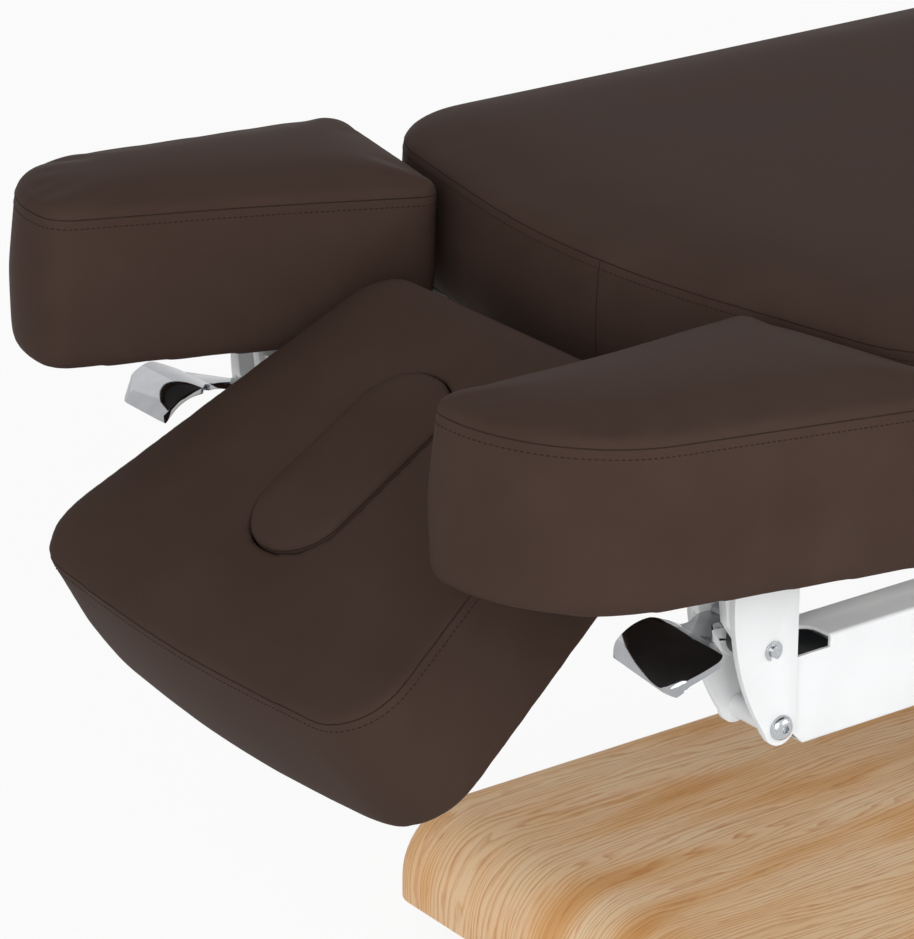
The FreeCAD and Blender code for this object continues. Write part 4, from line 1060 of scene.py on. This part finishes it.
@dataclass
class ReleaseLever:
    """A polished lever under an armrest, with its paddle pressed to shape.

    The paddle's outer edge is drawn out and the outer corner of its tip is rounded. A lever with a lift is
    bent up at its neck and at its inner corner, and a sag lowers the middle of its outer edge.
    """

    node: str
    sag: float = 0.0
    lift: float = 0.0
    tip_lift: float = 0.0
    shoulder: float = -692 * MM
    inner: float = 265 * MM
    width: float = 57 * MM
    neck: float = -722 * MM
    heel: float = -741 * MM
    tip: float = -779 * MM
    widen_heel: float = 15 * MM
    widen_tip: float = 4 * MM
    corner: float = 13 * MM
    corner_cuts: int = 5
    corner_start: float = 0.62
    corner_depth: float = 0.7
    sag_start: float = 0.12
    edge: float = 0.8 * MM

    def build(self, palette: Palette) -> None:
        """Rounds the lever's edges and shapes its paddle.

        Args:
            palette: the table's materials.
        """
        piece = eased_copy(self.node, f"{self.node}_polished", self.edge)
        side = math.copysign(1.0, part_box(self.node)[0].y)
        bpy.ops.object.mode_set(mode="EDIT")
        for row in range(self.corner_cuts):
            reach = self.inner + self.width - self.corner * (row + 0.6) / self.corner_cuts
            bpy.ops.mesh.select_all(action="SELECT")
            bpy.ops.mesh.bisect(plane_co=(0, side * reach, 0), plane_no=(0, 1, 0))
        bpy.ops.object.mode_set(mode="OBJECT")
        piece.data.vertices.foreach_set("co", self.pressed(vertex_array(piece.data)).ravel())
        piece.data.update()
        activate(piece)
        bpy.ops.object.shade_smooth_by_angle(angle=SMOOTH_ANGLE)
        dress(piece, palette[Slot.CHROME], frame["nodes"][self.node]["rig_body"])
        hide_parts(self.node)

    def pressed(self, points: np.ndarray) -> np.ndarray:
        """The lever's points with the paddle pressed to shape.

        Args:
            points: the lever's points, as the solid has them.

        Returns:
            The moved points.
        """
        x, y, z = points.T.copy()
        on_paddle = np.clip((self.neck - x) / (self.neck - self.heel), 0, 1)
        along = np.clip((self.heel - x) / (self.heel - self.tip), 0, 1)
        out = np.clip((np.abs(y) - self.inner) / self.width, 0, 1)
        y += np.sign(y) * on_paddle * out * (self.widen_heel + (self.widen_tip - self.widen_heel) * along)
        hang = np.sin(math.pi * np.clip(self.sag_start + (1 - self.sag_start) * along, 0, 1))
        z -= self.sag * on_paddle * out ** 2 * hang
        bent = np.clip((self.shoulder - x) / (self.shoulder - self.heel), 0, 1)
        z += bent * (3 * bent - 2 * bent ** 2) * self.lift * (1 - along) + self.tip_lift * along * (1 - out)
        beyond = np.clip((out - 1) * self.width + self.corner, 0, self.corner)
        round_off = self.corner_depth * (self.corner - np.sqrt(self.corner ** 2 - beyond ** 2))
        x += round_off * np.clip((along - self.corner_start) / (1 - self.corner_start), 0, 1)
        return np.c_[x, y, z]


@dataclass
class OakCover:
    """The oak shell over the base, with its veneer mapped along the rolled sheet."""

    node: str = "base_cover"
    bend: float = 58 * MM
    edge: float = 25 * MM
    upright: float = 0.999
    smooth_angle: float = math.radians(40)

    def build(self, palette: Palette) -> None:
        """Copies the shell and maps the grain over its bends.

        Args:
            palette: the table's materials.
        """
        cover = copy_solid(self.node, "oak_cover")
        low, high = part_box(self.node)
        points = vertex_array(cover.data)
        along = self.rolled(points[:, 0], points[:, 2], low.x, high.x, high.z, self.bend)
        from_end = np.minimum(points[:, 0] - low.x, high.x - points[:, 0])
        depth = np.minimum(high.z - points[:, 2], from_end)
        across = self.rolled(points[:, 1], high.z - depth, low.y, high.y, high.z, self.edge)
        down_wall = self.rolled(points[:, 1], points[:, 2], low.y, high.y, high.z, self.edge)
        layer = cover.data.uv_layers.new(name="grain")
        loops = np.zeros(len(cover.data.loops), dtype=int)
        cover.data.loops.foreach_get("vertex_index", loops)
        faces = cover.data.polygons
        on_wall = np.array([abs(face.normal.y) > self.upright for face in faces for _ in face.vertices])
        flat_map = np.c_[points[:, 0], down_wall][loops]
        rolled_map = np.c_[along, across][loops]
        layer.data.foreach_set("uv", np.where(on_wall[:, None], flat_map, rolled_map).ravel())
        activate(cover)
        bpy.ops.object.shade_smooth_by_angle(angle=self.smooth_angle)
        dress(cover, palette[Slot.OAK], "base")
        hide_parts(self.node)

    def rolled(self, side: np.ndarray, height: np.ndarray, low: float, high: float, top: float,
               radius: float) -> np.ndarray:
        """Distance along a sheet that runs level and rolls down at both ends.

        Args:
            side: place along the level run.
            height: height of each point.
            low: the sheet's lower end on the level run.
            high: its upper end.
            top: height of the level run.
            radius: radius of both rolls.

        Returns:
            The distance from the middle of the frame, measured on the sheet.
        """
        place = np.clip(side, low + radius, high - radius)
        over = np.abs(side - place)
        turn = np.arctan2(over, np.maximum(height - (top - radius), 0))
        drop = np.maximum(top - radius - height, 0) * (over > 0.7 * radius)
        return place + np.sign(side - place) * (radius * turn + drop)


def dress_frame(palette: Palette) -> None:
    """Gives every solid of the frame that still shows the material of its finish.

    Args:
        palette: the table's materials.
    """
    for row in frame["record"]["subparts"]:
        solid = frame["nodes"][row["node"]]
        if solid.hide_render:
            continue
        solid.data.materials.clear()
        solid.data.materials.append(palette[Slot(row["material_slot"])])


# Studio

@dataclass
class Studio:
    """Pale floor, white surround, soft lamps and the camera."""

    eye: tuple[float, float, float] = (-2.3718, -2.2845, 1.6372)
    look: tuple[float, float, float] = (0.5471, 0.7502, -0.3714)
    lens: float = 168.54
    low_light: float = 0.9
    high_light: float = 0.2
    floor_size: float = 40.0
    floor_colour: str = "#F2F2F1"
    floor_white: float = 0.92

    def build(self) -> None:
        """Sets the whole stage."""
        self.world()
        self.floor()
        self.lamp("key", (-3.0, -2.6, 1.9), target=(-0.5, 0.0, 0.5), size=2.4, power=68.0)
        self.lamp("fill", (1.6, -3.4, 1.8), target=(-0.2, 0.0, 0.5), size=2.4, power=47.0)
        self.lamp("back", (-0.6, 3.2, 2.8), target=(-0.4, 0.0, 0.6), size=2.6, power=5.0)
        self.camera()
        bpy.context.scene.view_settings.view_transform = "Standard"

    def seen(self, tree: NodeTree) -> Node:
        """Tells the rays that show the surround from those that only light the table.

        Args:
            tree: the node tree to add to.

        Returns:
            A node that gives one where a ray comes from the camera, a mirror or glass, and zero elsewhere.
        """
        path = add_node(tree, "LightPath").outputs
        shiny = add_node(tree, "Math", {
            0: path["Is Glossy Ray"], 1: path["Is Transmission Ray"]}, operation="MAXIMUM")
        return add_node(tree, "Math", {0: path["Is Camera Ray"], 1: shiny}, operation="MAXIMUM")

    def world(self) -> None:
        """White to the camera and to mirrors. Its light is stronger from the sides than from above."""
        world = bpy.data.worlds.new("white_surround")
        world.use_nodes = True
        tree = world.node_tree
        tree.nodes.clear()
        way = add_node(tree, "TexCoord").outputs["Generated"]
        height = add_node(tree, "SeparateXYZ", {"Vector": way}).outputs["Z"]
        ambient = add_node(tree, "MapRange", {
            "Value": height, "To Min": self.low_light, "To Max": self.high_light})
        strength = add_node(tree, "MapRange", {"Value": self.seen(tree), "To Min": ambient, "To Max": 1.0})
        light = add_node(tree, "Background", {"Color": (1, 1, 1, 1), "Strength": strength})
        add_node(tree, "OutputWorld", {"Surface": light})
        bpy.context.scene.world = world

    def floor(self) -> None:
        """A plain pale floor that is near white to the camera and keeps the shadow."""
        bpy.ops.object.select_all(action="DESELECT")
        bpy.ops.mesh.primitive_plane_add(size=self.floor_size)
        floor = bpy.context.object
        floor.name = "floor"
        material, tree = blank_material("pale_floor")
        matt = add_node(tree, "BsdfDiffuse", {"Color": linear(self.floor_colour)})
        glow = add_node(tree, "Emission", {"Color": (1, 1, 1, 1), "Strength": 1.0})
        share = add_node(tree, "Math", {0: self.seen(tree), 1: self.floor_white}, operation="MULTIPLY")
        mixed = add_node(tree, "MixShader", {0: share, 1: matt, 2: glow})
        finish_surface(tree, mixed)
        floor.data.materials.append(material)

    def lamp(self, name: str, place: tuple[float, float, float], target: tuple[float, float, float],
             size: float, power: float) -> None:
        """A square soft lamp.

        Args:
            name: the lamp's name.
            place: where it stands.
            target: what it points at.
            size: its side.
            power: its power in watts.
        """
        light = bpy.data.lights.new(name, "AREA")
        light.size = size
        light.energy = power
        lamp = bpy.data.objects.new(name, light)
        lamp.location = place
        lamp.rotation_euler = (Vector(target) - Vector(place)).to_track_quat("-Z", "Y").to_euler()
        bpy.context.scene.collection.objects.link(lamp)

    def camera(self) -> None:
        """The camera at the photograph's angle."""
        lens = bpy.data.cameras.new("camera")
        lens.lens = self.lens
        lens.sensor_width = 36.0
        lens.clip_end = 100.0
        camera = bpy.data.objects.new("camera", lens)
        camera.location = self.eye
        camera.rotation_euler = Vector(self.look).to_track_quat("-Z", "Y").to_euler()
        bpy.context.scene.collection.objects.link(camera)
        bpy.context.scene.camera = camera


def main() -> None:
    """Builds the table's pieces in order."""
    logging.basicConfig(level=logging.INFO, format="%(message)s")
    palette = Palette()
    Studio().build()
    Upholstery().build(palette)
    SteelFrame().build(palette)
    ReleaseLever("release_lever_left").build(palette)
    ReleaseLever("release_lever_right", sag=8 * MM, lift=5 * MM, tip_lift=7 * MM).build(palette)
    OakCover().build(palette)
    dress_frame(palette)


if __name__ == "__main__":
    main()
